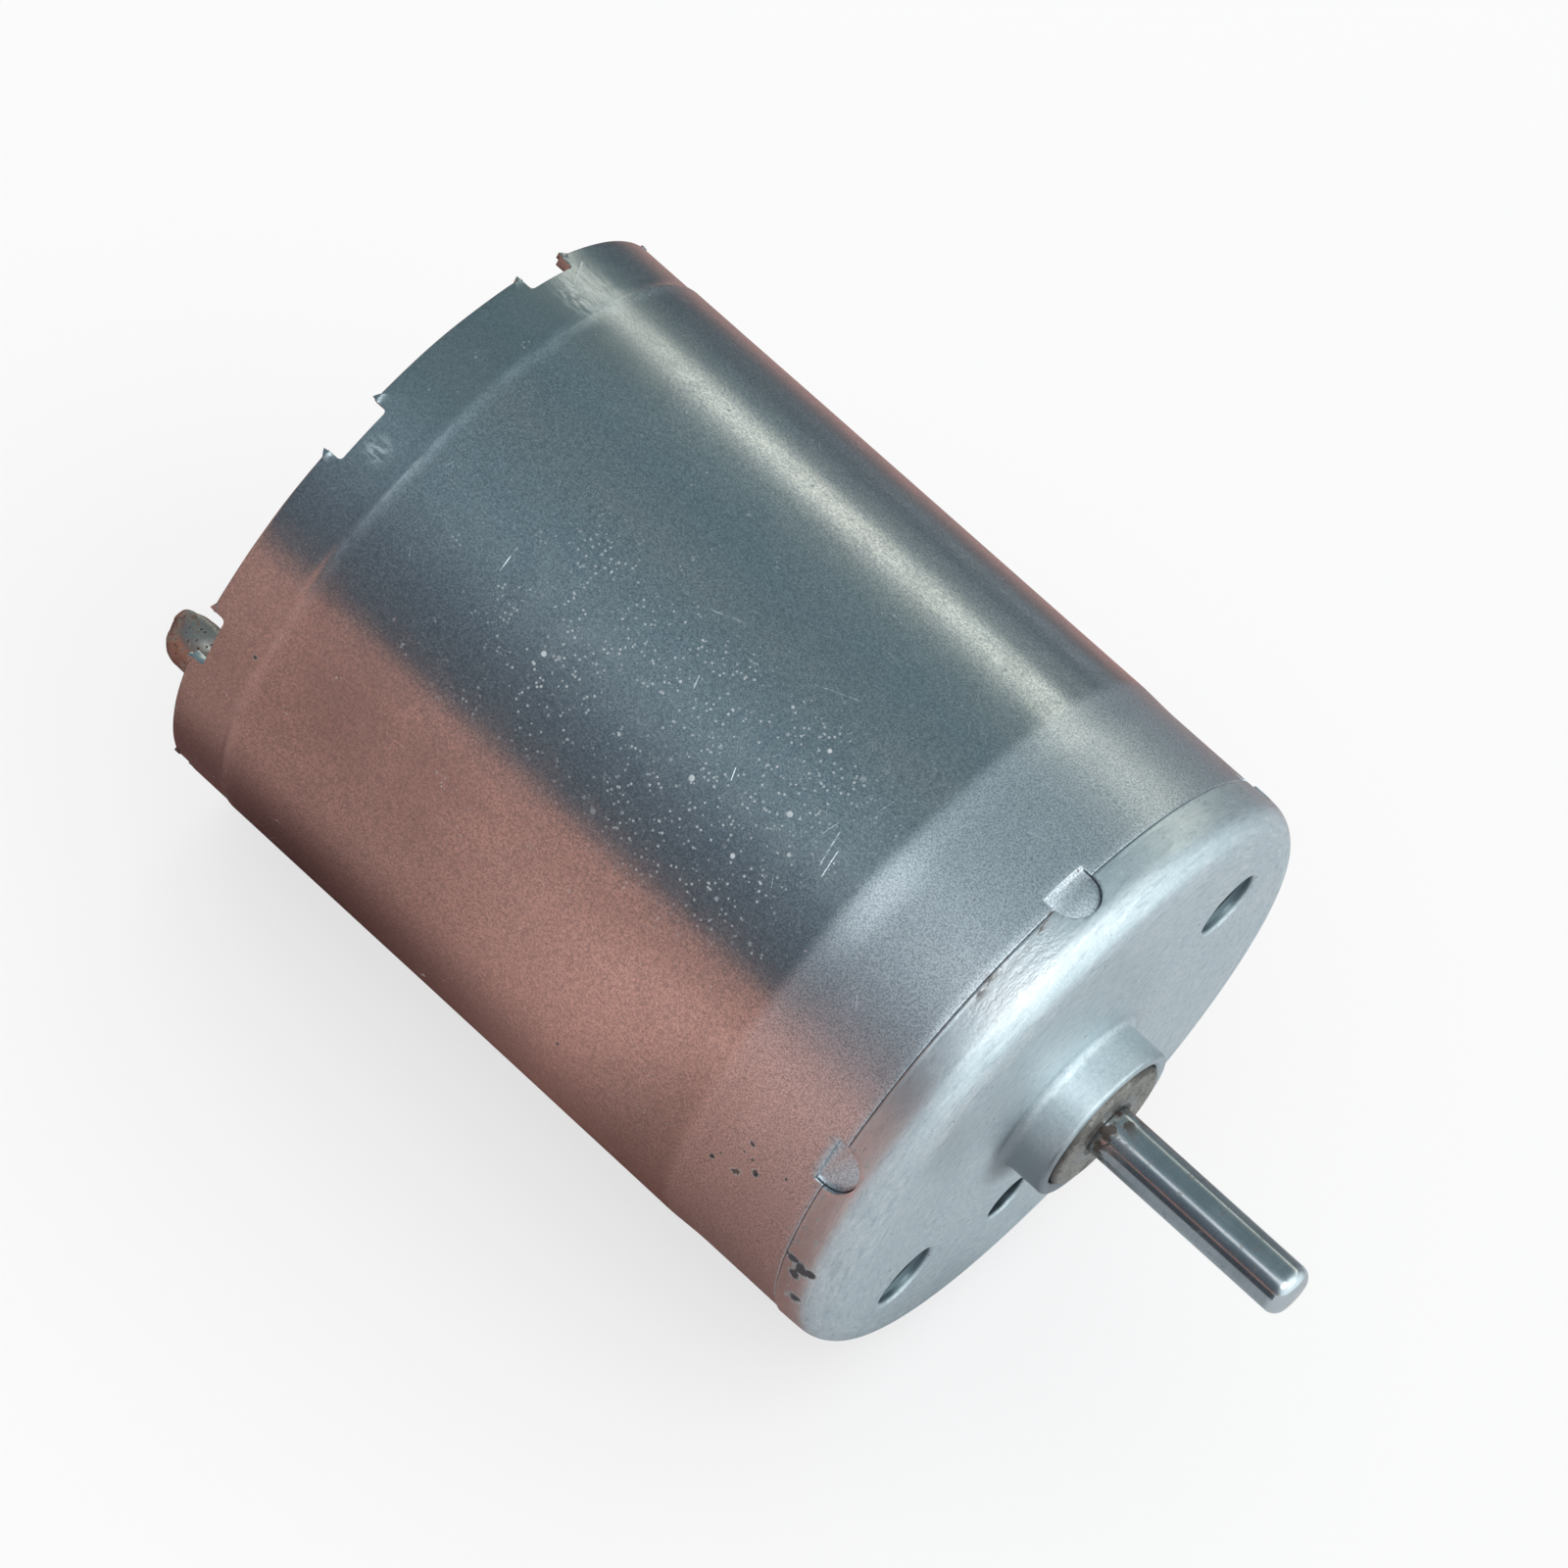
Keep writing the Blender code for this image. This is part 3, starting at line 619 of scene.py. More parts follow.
def can_steel():
    """Zinc plated drawn tube: bluish, fine grained, dusty, with a burnished front band."""
    here = Place(CAN_R)
    point, around = here.point, here.arc
    x = here.xyz[0]
    band = step(x, -7.7, -7.1)                     # burnished taper and front section
    front = step(x, -6.3, -5.7)
    rear = step(x, X_RIM + 2.55, X_RIM + 2.35)

    drawn = clouds(combine(x * 0.05, around * 5.5, here.radius), detail=4.0, rough=0.6)
    blotch = clouds(point, 0.22)
    patina = clouds(point, 0.9, detail=4.0, rough=0.6, warp=0.4, shift=7.0)
    grain = clouds(point, 9.0, rough=0.65)
    fine = clouds(point, 26.0, detail=2.0, rough=0.6, shift=3.0)
    coarse = clouds(point, 4.6, rough=0.7, shift=51.0) * (1.0 - band * 0.55)
    grit = clouds(point, 17.0, rough=0.7, shift=61.0)

    # painted shade: a darker stretch of the rear band, and a soft dark belt at the back of the
    # strip of light
    rear_shade = rear * here.sweep(6, 16) * here.sweep(50, 38)
    strip_shade = step(x, -22.5, -28.5) * here.facing(50, outer=15, inner=5)
    # faint smudges low on the near side
    smudge = here.spot(-25.6, -31.0, 2.3, soft=0.8, ragged=blotch, amount=3.0)
    smudge = smudge | here.spot(-28.0, -24.5, 1.3, soft=0.8, ragged=blotch, amount=2.0) * 0.8
    smudge = smudge | here.spot(-21.5, -33.0, 1.9, soft=0.8, ragged=blotch, amount=3.0) * 0.7

    hair = can_hairlines(here)
    marks = strongest(here.scratch(*row) for row in CAN_SCRATCHES)
    marks = marks * step(clouds(point, 2.4, detail=2.0, rough=0.6, shift=71.0), 0.30, 0.62)
    dust = can_dust(here, band)

    # dirt: black dots, grime along the seam, pits
    ragged = clouds(point, 3.2, rough=0.6, shift=5.0)
    dirt = strongest(here.spot(*row, soft=0.35, ragged=ragged, amount=row[2] * 2.4)
                     for row in CAN_DOTS)
    grime = clouds(combine(x * 3.0, around * 1.1), detail=4.0, rough=0.65, shift=13.0)
    seam = step(x, X_SEAM - 0.20, X_SEAM - 0.02)
    seam = seam * (0.12 + here.facing(11, outer=16, inner=8) * 0.75)
    dirt = dirt | seam * step(grime, 0.55, 0.66)
    distance, chance = cells(vec("ADD", here.flat, (9.1, 2.7, 0)), 1.8)
    pits = step(distance - chance[0] * 0.05, 0.075, 0.02) * step(chance[1], 0.70, 0.72)
    dirt = dirt | pits * (0.25 + front * 0.45)

    # a rubbed line along the rear step, rougher and painted lighter as a highlight, and two
    # rubbed patches by the rim
    rubbed = near(x, X_RIM + 2.62, outer=0.55, inner=0.0) * step(grime, 0.15, 0.75)
    stroke = clouds(combine(x * 1.6, around * 5.0, 4.0), rough=0.7, warp=0.6, shift=3.0)
    rim_patch = (here.spot(-29.6, 51.5, 1.25, soft=0.5, ragged=blotch, amount=1.0)
                 | here.spot(-30.1, 2.6, 0.45, soft=0.7, ragged=blotch, amount=0.8) * 0.9)
    rim_patch = rim_patch * step(stroke, 0.42, 0.62)

    color = paint(
        mix(step(blotch, 0.3, 0.7), (0.545, 0.595, 0.610), (0.595, 0.620, 0.625)),
        (step(patina, 0.45, 0.68) * 0.50, (0.47, 0.50, 0.50)),
        (step(drawn, 0.35, 0.7) * 0.16, (0.44, 0.49, 0.52)),
        (step(grain, 0.44, 0.60) * 0.66, (0.30, 0.34, 0.37)),
        (step(coarse, 0.50, 0.64) * 0.52, (0.33, 0.37, 0.40)),
        (step(fine, 0.52, 0.72) * 0.55, (0.86, 0.90, 0.92)),
        (band * 0.60, mix(step(grit, 0.42, 0.58), (0.93, 0.96, 1.00), (0.60, 0.64, 0.69))),
        (step(grit, 0.47, 0.62) * 0.50, (0.27, 0.31, 0.34)),
        (step(grit, 0.47, 0.36) * 0.40, (0.86, 0.90, 0.92)),
        (rear * 0.22, (0.46, 0.53, 0.55)),
        (rear_shade * 0.28, (0.24, 0.30, 0.29)),
        (strip_shade * 0.74, (0.33, 0.37, 0.38)),
        (smudge * 0.42, (0.30, 0.31, 0.33)),
        (rubbed * 0.36, (0.80, 0.88, 0.92)),
        (rim_patch * 0.60, (0.93, 0.96, 0.97)),
        (hair * 0.62, (0.82, 0.86, 0.88)),
        (marks * 0.60, (0.90, 0.93, 0.94)),
        (dirt, mix(step(ragged, 0.35, 0.65), (0.030, 0.028, 0.030), (0.13, 0.075, 0.055))))
    roughness = grade(
        mix_float(step(patina, 0.3, 0.75), 0.185, 0.245) + (grain - 0.5) * 0.16,
        (band * 0.75, 0.36), (front * 0.6, 0.40), (rubbed * 0.4, 0.40),
        (rim_patch * 0.6, 0.46), (marks * 0.50, 0.44), (hair * 0.35, 0.42), (dirt, 0.75))
    height = (grain * 0.42 + (coarse * 0.45 + (fine * 0.16 + drawn * 0.10))
              - (marks * 0.9 + hair * 0.25) - pits * 1.0)
    normal = bump(height, depth=0.006, strength=0.75)
    waves = clouds(combine(x * 0.10, around * 0.42), detail=2.0, rough=0.4)
    normal = bump(waves, depth=0.06, strength=0.30, normal=normal)
    steel = shader(color, roughness, metallic=1.0 - dirt * 0.85, normal=normal)
    powder = shader((0.72, 0.78, 0.80), roughness=0.8, metallic=0.0, normal=normal)
    return Value(node("MixShader", {0: dust * 0.68, 1: steel, 2: powder}).outputs[0])


def cap_steel():
    """Satin nickel on the drawn cap: paler and rougher than the tube, rubbed on its shoulder."""
    here = Place(CAN_R)
    point, around, radius = here.point, here.arc, here.radius
    x, y, z = here.xyz
    face = step(x, -0.16, -0.03)
    shoulder = step(radius, 10.4, 10.9) * step(x, -2.0, -1.2)
    lip = step(x, -0.9, -1.7)

    blotch = clouds(point, 0.35)
    grain = clouds(point, 11.0, rough=0.65)
    fine = clouds(point, 30.0, detail=2.0, rough=0.6, shift=3.0)
    turned = clouds(combine(x * 9.0, around * 0.35, radius * 9.0), rough=0.6)
    mottle = clouds(point, 3.4, detail=4.0, rough=0.7, shift=21.0)
    # short strokes left by handling, running round the shoulder and across the face
    strokes = clouds(combine(x * 7.0, around * 1.1, radius * 5.0),
                     detail=4.0, rough=0.75, warp=0.3, shift=37.0)

    # rubbed places: bright short strokes around the shoulder
    rub = step(turned, 0.56, 0.68) * (shoulder * step(blotch, 0.35, 0.6))
    # painted highlight: a white hot spot on the lip on the near side, broken into glints
    lip_hot_spot = here.facing(8.5, outer=17, inner=3) * step(x, -0.45, -1.2)
    glints = clouds(combine(x * 5.0, around * 2.2), detail=4.0, rough=0.7)
    painted_glints = lip_hot_spot * step(glints, 0.44, 0.64)

    # dirt: scuffs on the lip, grime along the seam, pits and dots
    scuff = clouds(combine(x * 6.0, around * 1.6, radius * 3.0),
                   detail=4.0, rough=0.7, shift=29.0)
    edge_low = here.sweep(-8, -18) * here.sweep(-80, -60)
    dirt = lip * 1.0 * step(scuff, 0.60, 0.68) * (0.30 + edge_low * 0.55)
    grime = clouds(combine(x * 3.0, around * 1.0), detail=4.0, rough=0.65, shift=13.0)
    seam = step(x, X_SEAM + 0.46, X_SEAM + 0.16) * step(grime, 0.50, 0.62)
    dirt = dirt | seam * here.facing(11, outer=18, inner=9) * 0.8
    distance, chance = cells(point, 1.5)
    pits = step(distance - chance[0] * 0.06, 0.07, 0.02) * step(chance[1], 0.80, 0.82)
    dirt = dirt | pits * 0.55
    ragged = clouds(point, 3.2, rough=0.6, shift=5.0)
    dirt = strongest([dirt] + [here.spot(*row, soft=0.35, ragged=ragged, amount=row[2] * 1.9)
                               for row in CAP_DOTS])

    # painted shade at the foot of the boss, in the coined ring and on the face under the boss
    foot = near(radius, 3.62, outer=0.26, inner=0.05) * face
    ring = near(radius, 10.6, outer=0.16, inner=0.03) * face
    near_boss = step(radius, 4.6, 3.3) * step(x, -0.5, -0.1)
    lower = here.sweep(-14, -52) * here.sweep(-150, -120)

    color = paint(
        mix(step(blotch, 0.3, 0.7), (0.74, 0.810, 0.835), (0.80, 0.850, 0.870)),
        (step(mottle, 0.42, 0.62) * 0.30, (0.58, 0.645, 0.68)),
        (step(grain, 0.42, 0.66) * 0.42, (0.54, 0.60, 0.64)),
        (step(fine, 0.48, 0.68) * 0.40, (0.92, 0.95, 0.96)),
        (step(strokes, 0.54, 0.64) * 0.55, (0.95, 0.98, 0.99)),
        (step(strokes, 0.46, 0.37) * 0.45, (0.46, 0.52, 0.56)),
        (foot * 0.16 + ring * 0.05, (0.36, 0.40, 0.43)),
        (step(x, 0.1, 0.5) * 0.24, (0.44, 0.50, 0.53)),
        (near_boss * lower * 0.78, (0.27, 0.29, 0.31)),
        (rub * 0.55, (0.93, 0.96, 0.97)),
        # painted shade: the lower side of the lip is darker
        (lip * edge_low * 0.52, (0.42, 0.46, 0.48)),
        (painted_glints * 0.80 | lip_hot_spot * 0.45, (1.0, 1.0, 1.0)),
        (dirt, (0.045, 0.045, 0.05)))
    # painted shade: the inside of the holes is darkened; rows give distance from the shaft,
    # angle, radius
    for distance, angle, hole_radius in (
            (MOUNT_PCD / 2, MOUNT_AT, MOUNT_LIP + 0.02),
            (MOUNT_PCD / 2, MOUNT_AT + 180, MOUNT_LIP + 0.02),
            (AUX_DISTANCE, AUX_AT, 1.05)):
        centre = (0.0, distance * math.cos(rad(angle)), distance * math.sin(rad(angle)))
        off = vec("DISTANCE", combine(0.0, y, z), centre)
        inside = step(off, hole_radius + 0.02, hole_radius - 0.02) * step(x, -0.05, -0.17)
        color = mix(inside * 0.92, color, (0.11, 0.15, 0.17))
    roughness = grade(0.40 + (grain - 0.5) * 0.14,
                      (lip * 0.6, 0.38), (face * 0.7, 0.50), (dirt, 0.7))
    height = (grain * 0.35 + (fine * 0.15 + turned * 0.15) - (pits * 0.9 + painted_glints * 0.7)
              + (mottle * 0.25 + strokes * 0.30))
    return shader(color, roughness, metallic=1.0 - dirt * 0.92,
                  normal=bump(height, depth=0.013, strength=0.9))


# ---------------------------------------------------------------------------
# the other finishes
# ---------------------------------------------------------------------------

def toned(rgb, gain, lift=0.0):
    return tuple(min(1.0, c * gain + lift) for c in rgb)


def metal(base, second, roughness, spread=0.08, streak=None, speck=None, depth=0.004,
          scale=6.0, dirt=0.0, dirt_color=None):
    """streak is "axis", "turned" or None; speck is a colour for pores."""
    here = Place()
    x, y, z = here.xyz
    grain = clouds(here.point, scale, detail=4.0, rough=0.6)
    broad = clouds(here.point, scale * 0.14, warp=0.3, shift=5.0)
    color = paint(mix(step(broad, 0.32, 0.68) * 0.6, base, second),
                  (step(grain, 0.4, 0.7) * 0.25, toned(base, 0.72)))
    height = grain * 0.4
    rough = roughness + (broad - 0.5) * (spread * 2)
    metallic = 1.0
    if streak:
        if streak == "axis":
            stretched = combine(x * 0.3, y * 16.0, z * 16.0)
        else:
            stretched = combine(x * 16.0, here.radius * 16.0, here.angle * 1.2)
        streaks = clouds(stretched, rough=0.6)
        color = mix(step(streaks, 0.45, 0.7) * 0.35, color, toned(base, 1.25))
        rough = rough + (streaks - 0.5) * (spread * 1.5)
        height = height + streaks * 0.8
    if speck:
        distance, chance = cells(here.point, scale * 1.6)
        pores = step(distance, 0.34, 0.16) * step(chance[1], 0.45, 0.5)
        color = mix(pores * 0.8, color, speck)
        height = height - pores * 1.2
        rough = rough + pores * 0.2
    if dirt:
        patches = clouds(here.point, scale * 0.5, detail=4.0, rough=0.65, warp=0.5, shift=17.0)
        mask = step(patches, 0.62 - dirt * 0.2, 0.72 - dirt * 0.2)
        color = mix(mask, color, dirt_color)
        rough = mix_float(mask, rough, 0.55)
        metallic = 1.0 - mask * 0.8
    return shader(color, rough, metallic, bump(height, depth, strength=0.8))


def moulded(base, second, roughness, depth, scale, fibre=0.0, fibre_color=None):
    """A non-metal: fine surface texture, faint flow marks and flecks, optional fibres."""
    here = Place()
    grain = clouds(here.point, scale, detail=4.0, rough=0.65)
    broad = clouds(here.point, scale * 0.12, rough=0.5, warp=0.6, shift=9.0)
    color = paint(mix(step(broad, 0.3, 0.7), base, second),
                  (step(grain, 0.45, 0.75) * 0.3, toned(base, 0.6)))
    height = grain + broad * 0.5
    rough = roughness + (grain - 0.5) * 0.16
    if fibre:
        x, y, z = here.xyz
        threads = clouds(combine(x * 1.2, y * 9.0, z * 3.0), 1.6, rough=0.6, warp=0.8)
        threads = step(threads, 0.55, 0.70)
        color = mix(threads * fibre, color, fibre_color)
        height = height + threads * 0.5
    distance, chance = cells(here.point, scale * 0.5)
    fleck = step(distance, 0.12, 0.05) * step(chance[1], 0.75, 0.78)
    color = mix(fleck * 0.4, color, toned(base, 1.8, lift=0.05))
    return shader(color, rough, metallic=0.0, normal=bump(height, depth, strength=0.7))


def coil_wire():
    """Enamelled copper."""
    here = Place()
    x, y, z = here.xyz
    tone = clouds(here.point, 2.6, rough=0.6)
    streak = clouds(combine(x * 0.8, y * 7.0, z * 7.0), rough=0.6)
    color = paint(mix(step(tone, 0.3, 0.7), (0.62, 0.20, 0.07), (0.74, 0.30, 0.12)),
                  (step(streak, 0.5, 0.7) * 0.4, (0.40, 0.11, 0.04)))
    return shader(color, 0.24 + tone * 0.12, metallic=0.95,
                  normal=bump(tone + streak, depth=0.006, strength=0.6), Coat_Weight=0.5)


def shaft_steel():
    """Ground shaft: dark polish with fine turns around it and a few stains."""
    here = Place(SHAFT_R)
    point, x = here.point, here.xyz[0]
    turned = clouds(combine(x * 22.0, here.angle * 0.5), rough=0.6)
    along = clouds(combine(x * 0.5, here.angle * 5.0, 3.0), rough=0.6)
    tone = clouds(point, 0.9, detail=4.0, rough=0.6)
    grain = clouds(point, 14.0, rough=0.6)
    stain = clouds(point, 1.9, detail=4.0, rough=0.65, warp=0.4, shift=8.0)
    stain = step(stain, 0.60, 0.70) * 0.55
    root = step(x, 3.6, 2.3) * step(clouds(point, 2.4, rough=0.6, shift=2.0), 0.42, 0.56)
    stain = stain | root
    # painted highlight: the rounded tip is paler
    tip = step(x, 9.95, 10.25)
    color = paint(
        mix(step(tone, 0.35, 0.7), (0.40, 0.44, 0.46), (0.48, 0.51, 0.53)),
        (step(turned, 0.45, 0.7) * 0.35, (0.27, 0.30, 0.32)),
        (step(along, 0.45, 0.70) * 0.25, (0.62, 0.66, 0.69)),
        (step(grain, 0.60, 0.78) * 0.22, (0.70, 0.74, 0.76)),
        (tip * 0.70, (0.86, 0.89, 0.91)),
        (stain, (0.12, 0.10, 0.09)))
    rough = 0.17 + ((turned - 0.5) * 0.10 + stain * 0.22)
    height = turned * 0.3 + along * 0.5
    return shader(color, rough, metallic=1.0 - stain * 0.3,
                  normal=bump(height, depth=0.0015, strength=0.5))


def bearing_bronze():
    """Porous bronze with dark oil near the shaft."""
    here = Place()
    point, radius = here.point, here.radius
    grain = clouds(point, 12.0, detail=4.0, rough=0.7)
    broad = clouds(point, 1.4, rough=0.6, warp=0.5)
    distance, chance = cells(point, 9.0)
    pores = step(distance, 0.36, 0.18) * step(chance[1], 0.35, 0.4)
    ragged = clouds(point, 2.2, detail=4.0, rough=0.65, warp=0.4, shift=6.0)
    oil = step(radius + (ragged - 0.5) * 2.0, 1.75, 1.40)
    rim = step(radius + (ragged - 0.5) * 0.5, 2.44, 2.62)
    film = step(ragged, 0.50, 0.62) * 0.55
    color = paint(
        mix(step(broad, 0.3, 0.7), (0.42, 0.40, 0.37), (0.54, 0.505, 0.455)),
        (step(grain, 0.4, 0.7) * 0.35, (0.32, 0.26, 0.20)),
        (pores * 0.75, (0.07, 0.05, 0.04)),
        (rim * 0.7 | film, (0.15, 0.13, 0.12)),
        (oil * 0.78, (0.09, 0.082, 0.075)))
    rough = mix_float(oil, 0.48 + grain * 0.12, 0.16)
    return shader(color, rough, metallic=1.0 - oil * 0.5,
                  normal=bump(grain * 0.5 - pores, depth=0.010, strength=0.8))


SHEET_T = 0.5


def laminated():
    """Edges of stamped sheets with varnish between them."""
    here = Place()
    x = here.xyz[0]
    groove = near(calc("FRACT", x / SHEET_T), 0.5, outer=0.40, inner=0.49)
    tone = clouds(combine(calc("FLOOR", x / SHEET_T)), 3.7, detail=0.0, rough=0.5)
    grain = clouds(here.point, 8.0, rough=0.6)
    color = paint(
        mix(step(tone, 0.3, 0.7), (0.28, 0.29, 0.31), (0.40, 0.41, 0.43)),
        (step(grain, 0.5, 0.7) * 0.4, (0.20, 0.19, 0.18)),
        (groove, (0.05, 0.045, 0.04)))
    rough = mix_float(groove, 0.36 + grain * 0.2, 0.7)
    return shader(color, rough, metallic=1.0 - groove * 0.6,
                  normal=bump(grain * 0.2 - groove, depth=0.02, strength=0.8))


def copper():
    """Copper with tracks around it and a dark film in the middle."""
    here = Place()
    x = here.xyz[0]
    tracks = clouds(combine(x * 9.0, here.angle * 0.6, here.radius), rough=0.6)
    tone = clouds(here.point, 1.8, rough=0.6)
    film = step(abs(x + 26.9), 0.95, 0.65) * step(tracks, 0.30, 0.62)
    color = paint(mix(step(tone, 0.3, 0.7), (0.83, 0.42, 0.27), (0.90, 0.52, 0.36)),
                  (film * 0.7, (0.22, 0.12, 0.09)))
    rough = 0.20 + (tracks * 0.10 + film * 0.10)
    return shader(color, rough, metallic=1.0,
                  normal=bump(tracks + tone * 0.2, depth=0.006, strength=0.8))


FINISHES = {}                            # CAD piece: (slot name, material)


def use(slot, pieces, shading, **settings):
    material = new_material(slot, shading, **settings)
    for piece in pieces.split():
        FINISHES[piece] = (slot, material)


use("can_steel", "can_tube", can_steel)
use("cap_steel", "front_cap", cap_steel)
use("sintered_bronze", "front_bearing rear_bearing", bearing_bronze)
use("ground_steel", "shaft", shaft_steel)
use("ferrite", "magnet_a magnet_b", moulded, base=(0.050, 0.050, 0.056),
    second=(0.075, 0.073, 0.076), roughness=0.62, depth=0.010, scale=10.0)
use("spring_steel", "magnet_clip_a magnet_clip_b", metal, base=(0.52, 0.53, 0.54),
    second=(0.42, 0.43, 0.46), roughness=0.28, streak="axis")
use("black_nylon", "end_bell", moulded, base=(0.034, 0.035, 0.038),
    second=(0.048, 0.048, 0.052), roughness=0.40, depth=0.014, scale=9.0)
use("white_nylon", "commutator_hub", moulded, base=(0.74, 0.72, 0.66),
    second=(0.82, 0.80, 0.74), roughness=0.50, depth=0.008, scale=8.0)
use("tinned_brass", "terminal_a terminal_b", metal, base=(0.60, 0.57, 0.50),
    second=(0.70, 0.66, 0.56), roughness=0.33, streak="axis", dirt=0.18,
    dirt_color=(0.25, 0.17, 0.10))
use("solder", "solder_a solder_b", metal, base=(0.50, 0.46, 0.42), second=(0.38, 0.34, 0.30),
    roughness=0.40, spread=0.12, speck=(0.10, 0.08, 0.06), depth=0.02, scale=3.5, dirt=0.40,
    dirt_color=(0.16, 0.12, 0.09))
use("phosphor_bronze", "brush_arm_a brush_arm_b", metal, base=(0.70, 0.44, 0.25),
    second=(0.60, 0.36, 0.22), roughness=0.26, streak="axis")
use("brush_carbon", "brush_a brush_b", moulded, base=(0.045, 0.045, 0.046),
    second=(0.065, 0.063, 0.060), roughness=0.60, depth=0.014, scale=14.0, fibre=0.5,
    fibre_color=(0.20, 0.13, 0.10))
use("damper_rubber", "brush_damper_a brush_damper_b", moulded, base=(0.055, 0.055, 0.058),
    second=(0.075, 0.075, 0.078), roughness=0.80, depth=0.012, scale=7.0)
use("lamination_steel", "armature_core", laminated)
use("insulator_fibre", "insulator_front insulator_rear", moulded, base=(0.12, 0.34, 0.22),
    second=(0.16, 0.40, 0.27), roughness=0.55, depth=0.010, scale=6.0, fibre=0.5,
    fibre_color=(0.34, 0.55, 0.42))
use("magnet_wire", "coil_1 coil_2 coil_3", coil_wire)
use("commutator_copper",
    "commutator_segment_1 commutator_segment_2 commutator_segment_3", copper)
use("varistor_ceramic", "varistor_ring", moulded, base=(0.09, 0.10, 0.12),
    second=(0.13, 0.14, 0.17), roughness=0.40, depth=0.008, scale=12.0)
use("washer_fibre", "front_thrust_washer rear_thrust_washer", moulded,
    base=(0.42, 0.28, 0.15), second=(0.55, 0.40, 0.24), roughness=0.62, depth=0.010,
    scale=6.0, fibre=0.6, fibre_color=(0.62, 0.48, 0.32))
use("spacer_brass", "front_spacer", metal, base=(0.74, 0.56, 0.27),
    second=(0.66, 0.47, 0.22), roughness=0.26, streak="turned")

for piece_name, piece in NODES.items():
    piece.data.materials.clear()
    piece.data.materials.append(FINISHES[piece_name][1])


def stand_for(obj, piece, body):
    """Shows obj in the place of a CAD piece, with that piece's finish."""
    slot, material = FINISHES[piece]
    obj.data.materials.clear()
    obj.data.materials.append(material)
    for polygon in obj.data.polygons:
        polygon.material_index = 0
    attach(obj, body)
    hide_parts(piece)


# ---------------------------------------------------------------------------
# steel tube
# ---------------------------------------------------------------------------

X_STEP = X_RIM + 2.43                    # swaged step at the rear
TUBE_BORE, REAR_BORE = 11.3, 11.7
X_TAPER, TAPER = -7.6, 1.75              # start and length of the taper to the front band
RIM_ROUND = 0.07
NOTCHES, NOTCH_AT, NOTCH_W, NOTCH_D, NOTCH_ROUND = 8, 127.0, 2.3, 0.6, 0.16
NOTCH_ANGLES = [NOTCH_AT + 360 / NOTCHES * k for k in range(NOTCHES)]
X_NOTCH = X_RIM + NOTCH_D                # floor of the notches
TONGUES, TONGUE_AT, TONGUE_W = 6, 105.0, 1.9
TONGUE_ANGLES = [TONGUE_AT + 360 / TONGUES * k for k in range(TONGUES)]
TONGUE_BACK, TONGUE_TIP = -2.65, -1.35
STRIKES = (0.13, 0.045, 0.09, 0.07, 0.11, 0.06)   # each tongue is sunk to its own depth
LUG_T, LUG_HALF, LUG_LOW, LUG_HIGH = 0.46, 1.0, 10.95, 11.92


def tube_profile():
    profile = arc(X_RIM + RIM_ROUND, REAR_BAND_R - RIM_ROUND, RIM_ROUND, 180, 90, 4)
    profile += between(profile[-1], (X_STEP - 0.14, REAR_BAND_R), 8)
    # the step, with a fine raised line
    for t in (0.0, 0.18, 0.36, 0.54, 0.72, 0.9, 1.0):
        radius = REAR_BAND_R + (CAN_R - REAR_BAND_R) * ease(t) + 0.012 * math.sin(math.pi * t)
        profile.append((X_STEP - 0.14 + 0.34 * t, radius))
    profile += between(profile[-1], (X_TAPER, CAN_R), 44)
    profile += [(X_TAPER + TAPER * i / 8, CAN_R + (FRONT_BAND_R - CAN_R) * ease(i / 8))
                for i in range(9)]
    profile += between(profile[-1], (X_SEAM - RIM_ROUND, FRONT_BAND_R), 10)
    profile += arc(X_SEAM - RIM_ROUND, FRONT_BAND_R - RIM_ROUND, RIM_ROUND, 90, 0, 4)
    profile += [(X_SEAM, TUBE_BORE)]
    run(profile, (X_STEP, TUBE_BORE), 12)
    profile += [(X_STEP, REAR_BORE)]
    run(profile, (X_RIM, REAR_BORE), 3)
    return profile


def tube_warp(x, radius, turn):
    """A few hundredths of a millimetre out of round, and a slightly uneven rim."""
    y, z = math.cos(turn), math.sin(turn)
    if radius > 11.9:
        broad = lumps(x * 0.09, y * 1.3, z * 1.3)
        fine = lumps(x * 0.30 + 9, y * 3.1, z * 3.1)
        radius -= 0.012 + 0.016 * broad + 0.005 * fine
    if x < X_RIM + 0.2:
        x += 0.018 * lumps(y * 6, z * 6, 4.2)
    return x, radius


def tongue_outline(back, tip, half_width, steps=14):
    """A strip (x, across) with a round front end."""
    depth = min(half_width, (tip - back) * 0.75)
    turns = [rad(-90 + 180 * i / steps) for i in range(steps + 1)]
    return [(back, half_width), (back, -half_width)] + [
        (tip - depth + depth * math.cos(t), half_width * math.sin(t)) for t in turns]


def add_tongues(tube):
    """Tongues that reach over the cap, with the tube relieved behind each."""
    relief = Blocks()
    for angle, sunk in zip(TONGUE_ANGLES, STRIKES):
        side_view = [(TONGUE_BACK - 0.22, 12.6), (TONGUE_BACK - 0.22, FRONT_BAND_R + 0.015),
                     (TONGUE_BACK - 0.05, FRONT_BAND_R - sunk), (TONGUE_BACK, 11.98),
                     (TONGUE_BACK + 0.03, 11.80), (X_SEAM + 1, 11.80), (X_SEAM + 1, 12.6)]
        relief.sideways(side_view, TONGUE_W / 2, angle)
    boolean(tube, relief.build("cut_relief"), "DIFFERENCE")
    tongues = Blocks()
    outline = tongue_outline(TONGUE_BACK - 0.35, TONGUE_TIP, TONGUE_W / 2 - 0.05)
    for angle in TONGUE_ANGLES:
        tongues.outward(outline, 11.42, 11.97, angle, tilt=0.025)
    boolean(tube, tongues.build("add_tongues"), "UNION")


